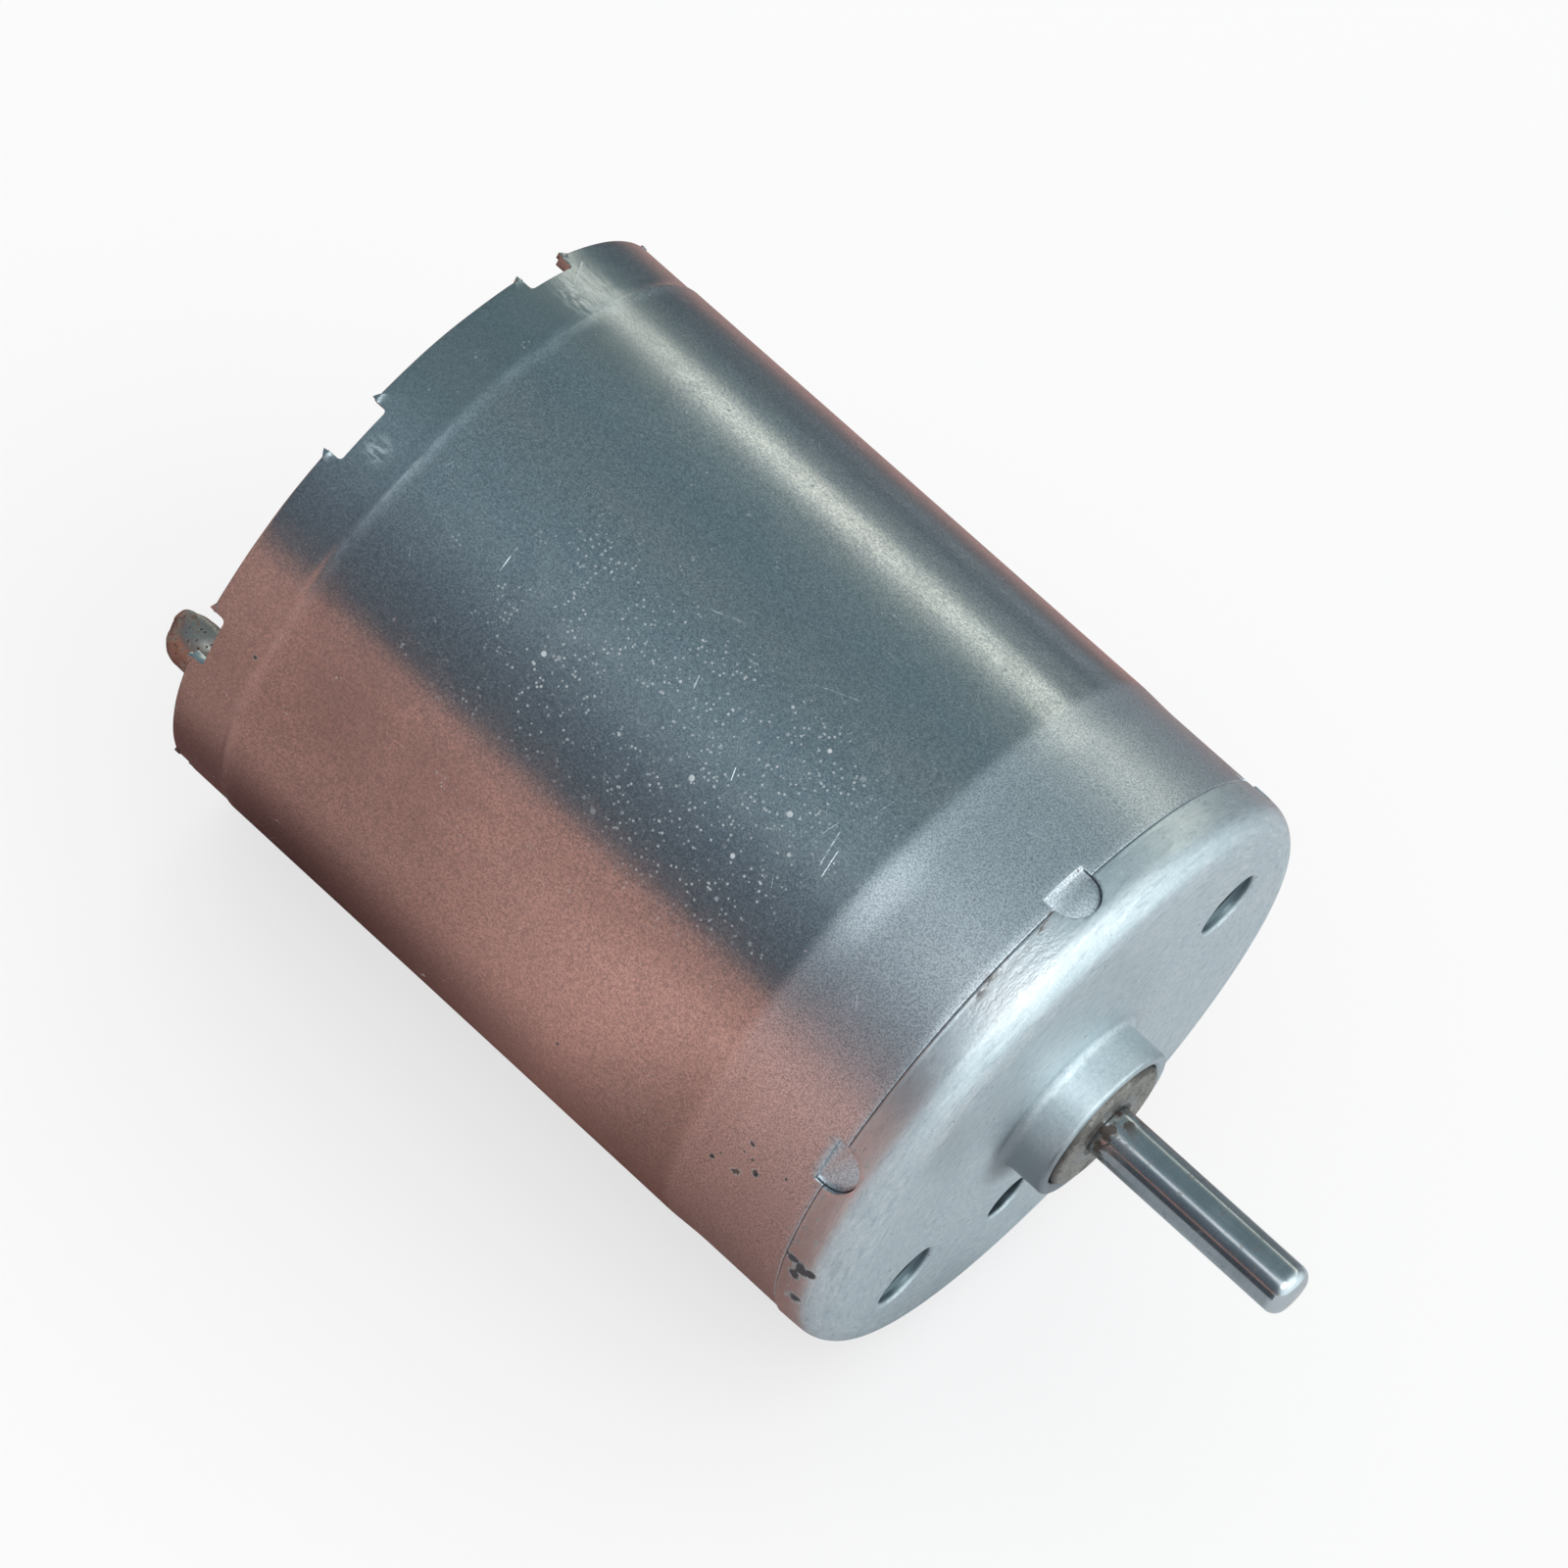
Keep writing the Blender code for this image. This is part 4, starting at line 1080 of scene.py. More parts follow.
def cut_notches(tube):
    """Notches in the rear rim, with rounded inner corners."""
    half, corner = NOTCH_W / 2, NOTCH_ROUND
    outline = [(X_RIM - 1, -half), (X_NOTCH - corner, -half)]
    outline += arc(X_NOTCH - corner, -half + corner, corner, -60, 0, 2)
    outline += arc(X_NOTCH - corner, half - corner, corner, 0, 60, 2)
    outline += [(X_NOTCH - corner, half), (X_RIM - 1, half)]
    notches = Blocks()
    for angle in NOTCH_ANGLES:
        notches.outward(outline, 10.9, CAN_R + 1, angle)
    boolean(tube, notches.build("cut_notches"), "DIFFERENCE")


def add_lugs(tube):
    """Folded lugs at the notches, bent inwards over the end bell."""
    side_view = [(X_NOTCH + 0.03, LUG_LOW + 0.10), (X_NOTCH + 0.12, LUG_LOW),
                 (X_NOTCH + LUG_T - 0.06, LUG_LOW), (X_NOTCH + LUG_T, LUG_LOW + 0.08),
                 (X_NOTCH + LUG_T, LUG_HIGH), (X_NOTCH + 0.10, LUG_HIGH),
                 (X_NOTCH + 0.02, LUG_HIGH - 0.12)]
    lugs = Blocks()
    for angle in NOTCH_ANGLES:
        lugs.sideways(side_view, LUG_HALF, angle)
    boolean(tube, lugs.build("add_lugs"), "UNION")


def add_burrs(tube):
    """Small burrs at the corners of the notches."""
    burrs = Blocks()
    for k, angle in enumerate(NOTCH_ANGLES):
        for side in (-1, 1):
            inner = side * (NOTCH_W / 2)
            outer = side * (NOTCH_W / 2 + 0.34)
            rise = 0.13 + 0.06 * lumps(k * 3.1, side * 2.0, 0.5)
            outline = [(X_RIM + 0.14, inner), (X_RIM - rise, inner + side * 0.05),
                       (X_RIM - rise * 0.55, inner + side * 0.16), (X_RIM + 0.06, outer)]
            burrs.outward(outline, 11.86, REAR_BAND_R - 0.03, angle)
    boolean(tube, burrs.build("add_burrs"), "UNION")


tube = lathe("tube_shell", tube_profile(), 300, warp=tube_warp)
add_tongues(tube)
cut_notches(tube)
add_lugs(tube)
add_burrs(tube)
tidy(tube, gap=0.010)
soften(tube, 0.035, angle=38.0)
stand_for(tube, "can_tube", "housing")


# ---------------------------------------------------------------------------
# front cap
# ---------------------------------------------------------------------------

CAP_ROUND, CAP_T = 1.35, 1.0
SHOULDER_FROM = 85.65                    # where the shoulder's rounding starts
LIP_FALL = 0.035
LIP_X = X_SEAM + 0.012
LIP_ROUND = 0.11
SKIRT_R, SKIRT_BORE = 11.2, 10.3
BOSS_R, BOSS_FILLET, BOSS_ROUND, BOSS_BORE = 3.2, 0.4, 0.16, 2.72
INNER_ROUND = 0.5
# x, radius of the coined ring where the face begins
COINED_RING = [(0.0, 10.76), (-0.006, 10.72), (-0.020, 10.66), (-0.026, 10.60),
               (-0.020, 10.54), (-0.006, 10.48), (0.0, 10.44)]


def cap_profile():
    profile = [(LIP_X, SKIRT_R), (LIP_X, CAN_R - 0.17)]
    profile += arc(LIP_X + LIP_ROUND, CAN_R - LIP_ROUND, LIP_ROUND, 180, 90, 5)
    # the lip falls away a little before the shoulder's rounding takes over
    first = profile[-1][0]
    last = -CAP_ROUND * (1 - math.cos(rad(SHOULDER_FROM)))
    profile += [(first + (last - first) * i / 8, CAN_R - LIP_FALL * (i / 8) ** 2)
                for i in range(1, 8)]
    shoulder_r = CAN_R - LIP_FALL - CAP_ROUND * math.sin(rad(SHOULDER_FROM))
    profile += arc(-CAP_ROUND, shoulder_r, CAP_ROUND, SHOULDER_FROM, 0, 20)
    profile += COINED_RING
    profile += between(profile[-1], (0.0, BOSS_R + BOSS_FILLET), 22)
    profile += arc(BOSS_FILLET, BOSS_R + BOSS_FILLET, BOSS_FILLET, 180, 270, 8)
    profile += between(profile[-1], (BOSS_H - BOSS_ROUND, BOSS_R), 5)
    profile += arc(BOSS_H - BOSS_ROUND, BOSS_R - BOSS_ROUND, BOSS_ROUND, 90, 0, 5)
    profile += [(BOSS_H, BOSS_BORE + 0.14), (BOSS_H - 0.10, BOSS_BORE), (-CAP_T, BOSS_BORE),
                (-CAP_T, SKIRT_BORE - INNER_ROUND)]
    profile += arc(-CAP_T - INNER_ROUND, SKIRT_BORE - INNER_ROUND, INNER_ROUND, 0, 90, 5)[1:]
    profile += [(X_SKIRT, SKIRT_BORE), (X_SKIRT, SKIRT_R - 0.2), (X_SKIRT + 0.3, SKIRT_R)]
    return profile


def cap_warp(x, radius, turn):
    """Slight unevenness of the outside and of the face."""
    y, z = math.cos(turn), math.sin(turn)
    if radius > 10.2 and x > -2.2:
        radius -= 0.010 + 0.012 * lumps(x * 0.5, y * 2.0, z * 2.0 + 5)
    if -0.2 < x < 0.05 and radius < 10.5:
        x -= 0.006 + 0.010 * lumps(radius * y * 0.25, radius * z * 0.25, 2.2)
    return x, radius


def mount_profile(bottom=-1.6, top=0.35, pitch=0.45, mouth=0.30):
    """(x, radius) of a threaded hole with a rolled mouth."""
    profile = []
    x = bottom
    while x < -0.42:
        profile += [(x, MOUNT_R), (x + pitch * 0.12, MOUNT_R),
                    (x + pitch * 0.5, MOUNT_CREST), (x + pitch * 0.62, MOUNT_CREST)]
        x += pitch
    profile.append((-mouth, MOUNT_R))
    profile += [(-mouth + mouth * math.sin(rad(b)),
                 MOUNT_R + (MOUNT_LIP - MOUNT_R) * (1 - math.cos(rad(b))))
                for b in (18, 36, 54, 72, 90)]
    profile.append((top, MOUNT_LIP))
    return profile


def aux_profile(mouth=0.16, flare=0.14):
    """(x, radius) of the plain hole, flared at the face."""
    flared = [(-mouth + mouth * math.sin(rad(b)), AUX_R + flare * (1 - math.cos(rad(b))))
              for b in (0, 22, 45, 68, 90)]
    return [(-1.6, AUX_R)] + flared + [(0.35, AUX_R + flare)]


cap = lathe("cap_shell", cap_profile(), 264, warp=cap_warp)
pockets = Blocks()
for angle in TONGUE_ANGLES:
    pockets.outward(tongue_outline(X_SEAM - 1.2, TONGUE_TIP + 0.045, TONGUE_W / 2 + 0.015),
                    SKIRT_R - 0.02, CAN_R + 1, angle)
boolean(cap, pockets.build("cut_pockets"), "DIFFERENCE")
for name, profile, distance, angle in (
        ("cut_hole_a", mount_profile(), MOUNT_PCD / 2, MOUNT_AT),
        ("cut_hole_b", mount_profile(), MOUNT_PCD / 2, MOUNT_AT + 180),
        ("cut_hole_c", aux_profile(), AUX_DISTANCE, AUX_AT)):
    boolean(cap, hole(name, profile, distance, angle), "DIFFERENCE")
tidy(cap)
soften(cap, 0.03, angle=38.0)
tidy(cap)
stand_for(cap, "front_cap", "housing")


# ---------------------------------------------------------------------------
# bearings and shaft
# ---------------------------------------------------------------------------

RUN_R = SHAFT_R + 0.05                   # bore of the bearings
TAIL_ROUND, TIP_ROUND = 0.18, 0.50


def bush(name, piece, edge, dish, chamfer):
    """A bearing ring: edge is its outer rounding, dish the hollow of its front face."""
    low, high = span(piece)
    x0, x1, radius = low[0] - FACE_X, high[0] - FACE_X, high[2]
    mouth = RUN_R + chamfer
    profile = [(x0, mouth)]
    profile += between((x0, mouth), (x0, radius - edge), 4)
    profile += arc(x0 + edge, radius - edge, edge, 180, 90, 4)
    profile += between((x0 + edge, radius), (x1 - edge, radius), 4)
    profile += arc(x1 - edge, radius - edge, edge, 90, 0, 4)
    for i in range(1, 6):
        t = i / 6
        profile.append((x1 - dish * math.sin(math.pi * t),
                        radius - edge + (mouth - (radius - edge)) * t))
    profile += [(x1, mouth), (x1 - chamfer, RUN_R), (x0 + chamfer, RUN_R)]
    stand_for(lathe(name, profile, 96), piece, "housing")


def shaft_profile():
    profile = [(X_TAIL, 0.0), (X_TAIL, 0.3)]
    profile += arc(X_TAIL + TAIL_ROUND, SHAFT_R - TAIL_ROUND, TAIL_ROUND, 180, 90, 5)
    profile += between((X_TAIL + TAIL_ROUND, SHAFT_R), (X_TIP - TIP_ROUND, SHAFT_R), 60)
    profile += arc(X_TIP - TIP_ROUND, SHAFT_R - TIP_ROUND, TIP_ROUND, 90, 0, 12)
    return profile + [(X_TIP, 0.30), (X_TIP, 0.0)]


def shaft_warp(x, radius, turn):
    if radius > SHAFT_R - 0.01:
        radius -= 0.002 + 0.002 * lumps(x * 0.8, math.cos(turn), math.sin(turn))
    return x, radius


bush("front_bush", "front_bearing", edge=0.20, dish=0.04, chamfer=0.16)
bush("rear_bush", "rear_bearing", edge=0.16, dish=0.03, chamfer=0.12)
shaft = lathe("shaft_rod", shaft_profile(), 72, closed=False, warp=shaft_warp)
stand_for(shaft, "shaft", "rotor")


# ---------------------------------------------------------------------------
# end bell
# ---------------------------------------------------------------------------

BELL_R, X_BELL_OUT, X_BELL_IN = 11.55, -30.25, -29.05
BELL_ROUND = 0.22
X_SPIGOT, SPIGOT_R, SPIGOT_BORE = -26.4, 11.15, 10.2   # ring that reaches into the tube
X_FLOOR = -28.95
BELL_BOSS_R, X_BELL_BOSS, BELL_BORE = 3.6, -32.4, 2.08
X_RECESS = X_BELL_OUT + 0.20             # floor of the ring-shaped recess
TAB_AT, TAB_R, TAB_T, TAB_W = 192.0, 9.35, 0.4, 2.0
X_TAB_END, X_TAB_ROOT = -33.85, -26.6
PAIR = (0, 180)                          # what is on one side is on the other too
# distance from the shaft, angle from the tab, x of the floor
PIN_MARKS = ((6.6, 114.0, X_BELL_OUT + 0.26), (6.6, 142.0, X_BELL_OUT + 0.26),
             (10.1, 60.7, X_BELL_OUT + 0.06), (10.1, 121.3, X_BELL_OUT + 0.06))


def bell_profile():
    profile = arc(X_BELL_OUT + BELL_ROUND, BELL_R - BELL_ROUND, BELL_ROUND, 180, 90, 4)
    profile += arc(X_BELL_IN - 0.08, BELL_R - 0.08, 0.08, 90, 0, 2)
    profile += [(X_BELL_IN, SPIGOT_R)]
    run(profile, (X_SPIGOT - 0.15, SPIGOT_R), 4)
    profile += [(X_SPIGOT, SPIGOT_R - 0.15), (X_SPIGOT, SPIGOT_BORE + 0.15),
                (X_SPIGOT - 0.15, SPIGOT_BORE)]
    run(profile, (X_FLOOR, SPIGOT_BORE), 4)
    run(profile, (X_FLOOR, BELL_BORE), 8)
    profile += [(X_BELL_BOSS + 0.12, BELL_BORE), (X_BELL_BOSS, BELL_BORE + 0.12),
                (X_BELL_BOSS, 2.75), (X_BELL_BOSS + 0.10, 2.85),
                (X_BELL_BOSS + 0.10, 3.05), (X_BELL_BOSS, 3.15)]
    profile += arc(X_BELL_BOSS + 0.25, BELL_BOSS_R - 0.25, 0.25, 180, 90, 4)
    profile += between(profile[-1], (X_BELL_OUT - 0.3, BELL_BOSS_R), 4)
    profile += arc(X_BELL_OUT - 0.3, BELL_BOSS_R + 0.3, 0.3, 270, 360, 5)
    profile += [(X_BELL_OUT, 4.45), (X_BELL_OUT + 0.04, 4.55), (X_RECESS, 4.62)]
    run(profile, (X_RECESS, 8.42), 8)
    profile += [(X_BELL_OUT + 0.04, 8.49), (X_BELL_OUT, 8.58)]
    profile += between(profile[-1], (X_BELL_OUT, BELL_R - BELL_ROUND), 6)
    return profile


def ring_part(inner, outer, at, half, steps=12):
    """(y, z) outline of a piece of a flat ring, half degrees to either side of at."""
    turns = [at - half + 2 * half * i / steps for i in range(steps + 1)]
    return [(outer * math.cos(rad(b)), outer * math.sin(rad(b))) for b in turns] + \
        [(inner * math.cos(rad(b)), inner * math.sin(rad(b))) for b in reversed(turns)]


def build_bell():
    bell = lathe("bell_moulding", bell_profile(), 180)
    ribs, pads, openings = Blocks(), Blocks(), Blocks()
    for turn in PAIR:
        at = TAB_AT + turn
        for rib in (20, 100, 128, 156):
            ribs.outward(box(X_BELL_OUT - 0.02, X_BELL_OUT + 0.4, 0.26), 3.5, 8.7, at + rib)
        pads.outward(box(-30.62, -30.0, 1.6), 8.75, 10.75, at)
        # slot for the tab, curved window, gap in the spigot
        openings.outward(box(-34.5, -28, 1.12), TAB_R - 0.12, TAB_R + TAB_T + 0.12, at)
        openings.along(ring_part(5.2, 8.0, at + 60, 24), -31.5, -28.2)
        openings.outward(box(-28.6, -26, 2.4), 9.9, 11.5, at + 90)
    boolean(bell, ribs.build("add_ribs"), "UNION")
    boolean(bell, pads.build("add_pads"), "UNION")
    boolean(bell, openings.build("cut_openings"), "DIFFERENCE")
    for distance, at, floor_x in PIN_MARKS:
        for turn in PAIR:
            mark = hole("pin_mark", [(-31.0, 0.55), (floor_x, 0.55)], distance,
                        TAB_AT + turn + at, segments=32)
            boolean(bell, mark, "DIFFERENCE")
    tidy(bell, gap=0.040)
    soften(bell, 0.07, segments=3, angle=42.0)
    tidy(bell)
    stand_for(bell, "end_bell", "housing")


build_bell()


# ---------------------------------------------------------------------------
# tabs and solder
# ---------------------------------------------------------------------------

def build_tab(name, at):
    """A flat tab with a round rear end."""
    half = TAB_W / 2
    outline = [(X_TAB_ROOT, -half), (X_TAB_ROOT, half)]
    outline += [(X_TAB_END + half - half * math.sin(rad(b)), half * math.cos(rad(b)))
                for b in range(0, 181, 10)]
    blocks = Blocks()
    blocks.outward(outline, TAB_R, TAB_R + TAB_T, at)
    tab = blocks.build(name)
    soften(tab, 0.07, segments=3)
    return tab


def solder_drop(name, at, seed, rows=22, around=44):
    """A frozen drop over the end of the tab, thick at its middle, drawn out to the bell."""
    rings = []
    for i in range(rows + 1):
        polar = math.pi * i / rows
        ring = []
        for j in range(1 if i in (0, rows) else around):
            turn = 2 * math.pi * j / around
            x = math.sin(polar) * math.cos(turn)
            across = math.sin(polar) * math.sin(turn)
            out = math.cos(polar)
            swell = (1.0 + 0.10 * lumps(x * 1.3 + seed, across * 1.3, out * 1.3)
                     + 0.035 * lumps(x * 3.6, across * 3.6 + seed, out * 3.6))
            full = 1.0 + 0.30 * max(0.0, x) * math.sin(polar)
            ring.append(on_side(
                X_TAB_END + 1.20 + x * (1.13 if x < 0 else 2.20) * swell,
                across * 1.22 * swell * full,
                TAB_R + TAB_T + out * (1.10 if out > 0 else 0.76) * swell * full, at))
        rings.append(ring)
    return loft(name, rings, smooth_angle=180.0)


for letter, turn, seed in (("a", 0, 2.3), ("b", 180, 7.9)):
    stand_for(build_tab("tab_" + letter, TAB_AT + turn), "terminal_" + letter, "housing")
    drop = solder_drop("drop_" + letter, TAB_AT + turn, seed)
    stand_for(drop, "solder_" + letter, "housing")


# ---------------------------------------------------------------------------
# the stage, in metres of the frame's origin: pale floor, sheets seen only in reflections
# ---------------------------------------------------------------------------

FLOOR_Z = -CAN_R * MM
BIG = 6.0
CLOTH_LEAN = rad(8.0)                    # tilt of the two mirrored sheets under the motor
FRONT_EDGE = (FACE_X - 1.6) * MM         # x where the cloth ends and the table begins
FAR_EDGE = -0.040
# x, painted brightness of the cloth
CLOTH_TONES = ((-0.050, 1.00), (-0.0435, 1.00), (-0.040, 1.08), (-0.0335, 1.22),
               (-0.0275, 1.58), (-0.0255, 1.56), (-0.0215, 0.98), (-0.0165, 0.82),
               (-0.010, 0.80))
CLOTH_GAIN = 0.625
# name, first and last angle above the near horizontal, colour at each
CARDS = (("upper_card", 140.0, 172.0, (0.22, 0.28, 0.31), (0.30, 0.32, 0.33)),
         ("lower_card", -16.0, 8.0, (0.085, 0.095, 0.11), (0.10, 0.115, 0.13)))


def sheet(name, corners, material):
    mesh = bpy.data.meshes.new(name)
    mesh.from_pydata(corners, [], [tuple(range(len(corners)))])
    mesh.update()
    obj = bpy.data.objects.new(name, mesh)
    STAGE.objects.link(obj)
    mesh.materials.append(material)
    return obj


def mirrored(name, corners, material):
    """A sheet that only reflections see."""
    obj = sheet(name, corners, material)
    obj.visible_camera = False
    obj.visible_diffuse = False
    obj.visible_shadow = False
    obj.visible_transmission = False


def under_sheet(name, x0, x1, near_side, far_side, material):
    """A leaning sheet just under the motor."""
    up = Vector((0, math.sin(CLOTH_LEAN), math.cos(CLOTH_LEAN)))
    side = Vector((0, -math.cos(CLOTH_LEAN), math.sin(CLOTH_LEAN)))
    foot = up * (-(CAN_R + 0.06) * MM)
    places = ((x0, near_side), (x1, near_side), (x1, far_side), (x0, far_side))
    corners = [tuple(Vector((x, 0, 0)) + foot + side * s) for x, s in places]
    mirrored(name, corners, material)


def hung_sheet(name, arm, x0, x1, low, high, material):
    """A strip along the shaft at arm mm from its axis, between two angles; x in mm."""
    places = ((x0, low), (x1, low), (x1, high), (x0, high))
    corners = [((FACE_X + x) * MM, -arm * MM * math.cos(rad(at)), arm * MM * math.sin(rad(at)))
               for x, at in places]
    mirrored(name, corners, material)


def pale_floor():
    tone = clouds(coordinates(), 6.0, detail=2.0, rough=0.5)
    color = mix(tone, (0.945, 0.947, 0.950), (0.965, 0.965, 0.965))
    return shader(mix(0.68, color, (0.0, 0.0, 0.0)), roughness=0.9, metallic=0.0,
                  Specular_IOR_Level=0.0, Emission_Color=color, Emission_Strength=0.70)


def rose_cloth():
    """Cloth with painted light and shade: painted fold shading, brightest behind the middle,
    paler to the sides, and a painted shadow under the motor.
    """
    coords = coordinates()
    # painted fold shading: lighter and darker patches of the same pink
    fold_shade = clouds(coords, 22.0, rough=0.5)
    along, beside = split(coords)[0], split(coords)[1]
    start, end = CLOTH_TONES[0][0], CLOTH_TONES[-1][0]
    # painted light: brightness along the cloth, and paler to the sides
    gain = ramp(step(along, start, end, kind="LINEAR"),
                [((x - start) / (end - start), (tone * CLOTH_GAIN,) * 3)
                 for x, tone in CLOTH_TONES])
    away = step(abs(beside), 0.030, 0.110)
    side_gain = mix(away, (1.60, 1.60, 1.60), (1.85, 1.85, 1.85))
    # painted shadow under the motor, weaker towards the front
    under = step(abs(beside), 0.0175, 0.0100)
    under = under * step(along, -0.038, -0.020, low=0.78, high=0.10, kind="LINEAR")
    color = mix(step(fold_shade, 0.3, 0.7), (0.50, 0.260, 0.215), (0.62, 0.325, 0.270))
    color = mix(1.0, color, gain, "MULTIPLY")
    color = mix(1.0, color, side_gain, "MULTIPLY")
    color = mix(under, color, (0.105, 0.045, 0.048))
    return shader(color, roughness=1.0, metallic=0.0, Specular_IOR_Level=0.0)


def pale_table():
    """Table ahead of the motor, with a painted shadow near the cap."""
    coords = coordinates()
    tone = clouds(coords, 30.0, rough=0.5)
    along, beside = split(coords)[0], split(coords)[1]
    # painted shadow on the table next to the cap
    close = (step(along, (FACE_X + 3.2) * MM, (FACE_X + 1.2) * MM)
             * (step(beside, -0.008, -0.004) * step(beside, 0.004, 0.0)))
    color = paint(mix(tone, (0.515, 0.555, 0.585), (0.565, 0.605, 0.630)),
                  (close * 0.50, (0.10, 0.09, 0.095)))
    return shader(color, roughness=1.0, metallic=0.0, Specular_IOR_Level=0.0)


def lamp_glow():
    tone = clouds(coordinates(), 200.0, detail=1.0, rough=0.5)
    return emission(Color=mix(tone, (0.92, 0.97, 1.0), (1.0, 1.0, 1.0)), Strength=1.35)


def card_glow(low, high, first, last):
    """Runs from one colour to the other around the shaft."""
    y, z = split(coordinates())[1:]
    turn = calc("ARCTAN2", z, y * -1.0)
    return emission(Color=mix(step(turn, rad(low), rad(high)), first, last))


floor_corners = [(x * BIG, y * BIG, FLOOR_Z) for x, y in ((-1, -1), (1, -1), (1, 1), (-1, 1))]
floor = sheet("floor", floor_corners, new_material("pale_floor", pale_floor))
floor.visible_glossy = False
floor.visible_diffuse = False
floor.visible_shadow = False

cloth = new_material("rose_cloth", rose_cloth)
table = new_material("pale_table", pale_table)
under_sheet("mirrored_cloth", -BIG, FRONT_EDGE, BIG, FAR_EDGE, cloth)
under_sheet("mirrored_table", FRONT_EDGE, BIG, BIG, -BIG, table)

# a narrow lamp close above the shaft
hung_sheet("near_lamp", 30.0, -6.2, 11.0, 50.0, 60.0, new_material("near_lamp", lamp_glow))

# two small curved cards close to the shaft, of four strips each
for name, low, high, first, last in CARDS:
    card = new_material(name, card_glow, low=low, high=high, first=first, last=last)
    turns = [low + (high - low) * i / 4 for i in range(5)]
    for start, end in zip(turns, turns[1:]):
        hung_sheet(name, 5.0, 1.9, 11.0, start, end, card)


# ---------------------------------------------------------------------------
# world: white to the eye and to rough surfaces, a soft studio to polished ones
# ---------------------------------------------------------------------------

STRIP_DX = 0.2506                        # where the strip of light is square to the motor
# angle (0 on the near side, 90 overhead, 180 on the far side), colour
SIDE_LIGHT = (
    (-180, (0.12, 0.155, 0.175)), (-165, (0.13, 0.15, 0.165)), (-150, (0.46, 0.29, 0.27)),
    (-120, (0.50, 0.33, 0.30)), (-20, (0.50, 0.36, 0.33)), (2, (0.30, 0.28, 0.28)),
    (10, (0.125, 0.140, 0.160)), (34, (0.160, 0.195, 0.235)), (56, (0.215, 0.290, 0.335)),
    (74, (0.215, 0.295, 0.340)), (94, (0.230, 0.295, 0.320)), (114, (0.190, 0.265, 0.300)),
    (136, (0.250, 0.330, 0.350)), (146, (0.36, 0.42, 0.42)), (152, (1.44, 1.43, 1.28)),
    (157, (1.44, 1.43, 1.28)), (163, (0.25, 0.32, 0.33)), (178, (0.12, 0.165, 0.19)),
)


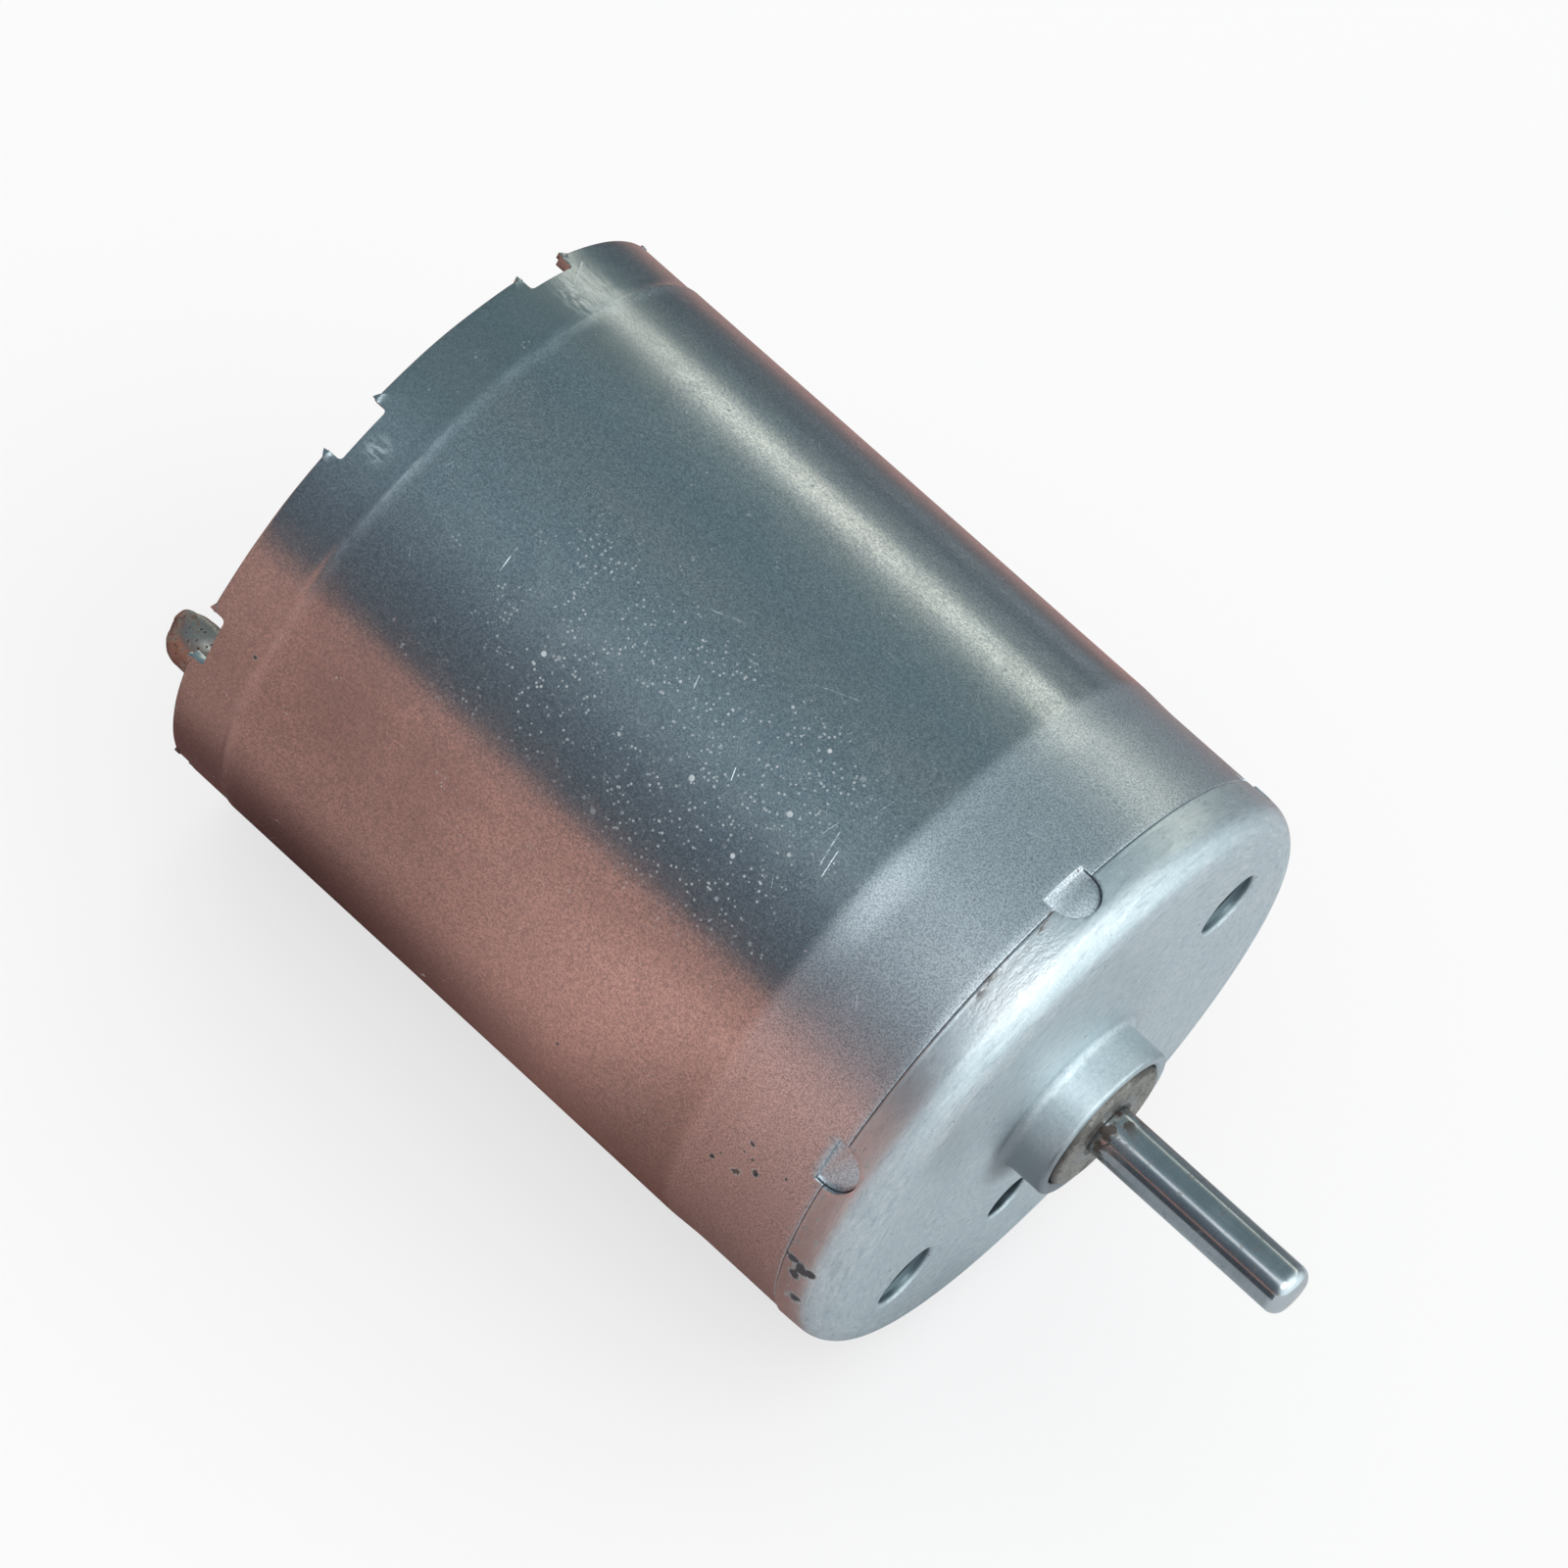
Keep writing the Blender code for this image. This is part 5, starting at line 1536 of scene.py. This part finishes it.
def studio():
    direction = coordinates("Generated")
    dx, dy, dz = split(direction)
    around = calc("ARCTAN2", dz, dy * -1.0)
    # the strip of light is not quite parallel to the motor
    lean_in = (dx + STRIP_DX) * rad(60.0) * step(around, rad(95.0), rad(140.0))
    share = (around + lean_in) / (2 * math.pi) + 0.5
    side_light = ramp(share, [((angle + 180) / 360, rgb) for angle, rgb in SIDE_LIGHT])

    behind = (step(dx, -0.285, -0.225)
              * near(abs(around), rad(171.0), outer=rad(9.0), inner=rad(2.0)))
    # a soft panel above, ahead of the motor
    ahead = (step(dx, -0.20, 0.35)
             * near(around, rad(72.0), outer=rad(66.0), inner=rad(10.0)))
    toward_front = vec("DOT_PRODUCT", direction, tuple(Vector((0.93, 0.15, 0.34)).normalized()))
    above = vec("DOT_PRODUCT", direction, tuple(Vector((0.66, 0.02, 0.75)).normalized()))
    # a softbox just above the camera, ahead of the motor
    softbox = (step(dx, -0.16, 0.14) * step(dx, 0.62, 0.38)
               * near(around, rad(57.0), outer=rad(19.0), inner=rad(5.0)))
    # the pale table in front of the motor
    table_below = step(dz, -0.02, -0.30) * step(dx, -0.12, 0.08)
    glossy = paint(
        side_light,
        (behind, (0.31, 0.35, 0.38)),
        (ahead, (0.80, 0.91, 0.96)),
        (step(toward_front, 0.15, 0.95), (0.95, 1.10, 1.15)),
        (step(above, 0.82, 0.985), (1.30, 1.40, 1.42)),
        (softbox, (3.4, 3.7, 3.8)),
        (table_below, (0.475, 0.525, 0.56)))
    rays = node("LightPath").outputs
    seen = mix(Value(rays["Is Camera Ray"]), (1.0, 1.0, 1.0), (0.975, 0.975, 0.976))
    radiance = mix(Value(rays["Is Glossy Ray"]), seen, glossy)
    return Value(node("Background", {"Color": radiance, "Strength": 1.0}).outputs[0])


world = bpy.data.worlds.new("studio")
bpy.context.scene.world = world
world.use_nodes = True
world.cycles.sampling_method = "NONE"
fill(world.node_tree, "OutputWorld", studio, {})


# ---------------------------------------------------------------------------
# camera: long lens, looking down on the motor's near side and its front
# ---------------------------------------------------------------------------

# in the camera's frame before its roll: x right, y down, z away from the camera
RIM_CENTRE = np.array((-16.1797, 1.5337, 276.9532))
RIM_TO_ORIGIN = 42.0                     # along the shaft
SHAFT_AXIS = np.array((0.97203, -0.00923, -0.23469))
VIEW_AXIS = np.array((-0.23468, 0.00223, -0.97207))
ACROSS_AXIS = np.array((-0.00949, -0.99995, 0.0))
VIEW_HEIGHT = rad(50.0)
ROLL = rad(42.5)


def camera_matrix():
    view_row = np.array((0.0, -math.cos(VIEW_HEIGHT), math.sin(VIEW_HEIGHT)))
    across_row = np.array((0.0, math.sin(VIEW_HEIGHT), math.cos(VIEW_HEIGHT)))
    turn = (np.outer(SHAFT_AXIS, (1, 0, 0)) + np.outer(VIEW_AXIS, view_row)
            + np.outer(ACROSS_AXIS, across_row))
    # the nearest true rotation
    left, _, right = np.linalg.svd(turn)
    turn = left @ right
    origin = RIM_CENTRE + RIM_TO_ORIGIN * SHAFT_AXIS
    roll = np.array(((math.cos(ROLL), -math.sin(ROLL), 0),
                     (math.sin(ROLL), math.cos(ROLL), 0), (0, 0, 1)))
    rotation = np.diag((1.0, -1.0, -1.0)) @ roll @ turn
    location = -turn.T @ origin * MM
    matrix = Matrix.Identity(4)
    for i in range(3):
        for j in range(3):
            matrix[i][j] = rotation.T[i][j]
        matrix[i][3] = location[i]
    return matrix


lens = bpy.data.cameras.new("camera")
lens.lens = 180.0
lens.sensor_width = 36.0
lens.clip_start = 0.001
lens.clip_end = 50.0
camera = bpy.data.objects.new("camera", lens)
STAGE.objects.link(camera)
camera.matrix_world = camera_matrix()
scene = bpy.context.scene
scene.camera = camera
scene.view_settings.view_transform = "Standard"
scene.view_settings.look = "None"
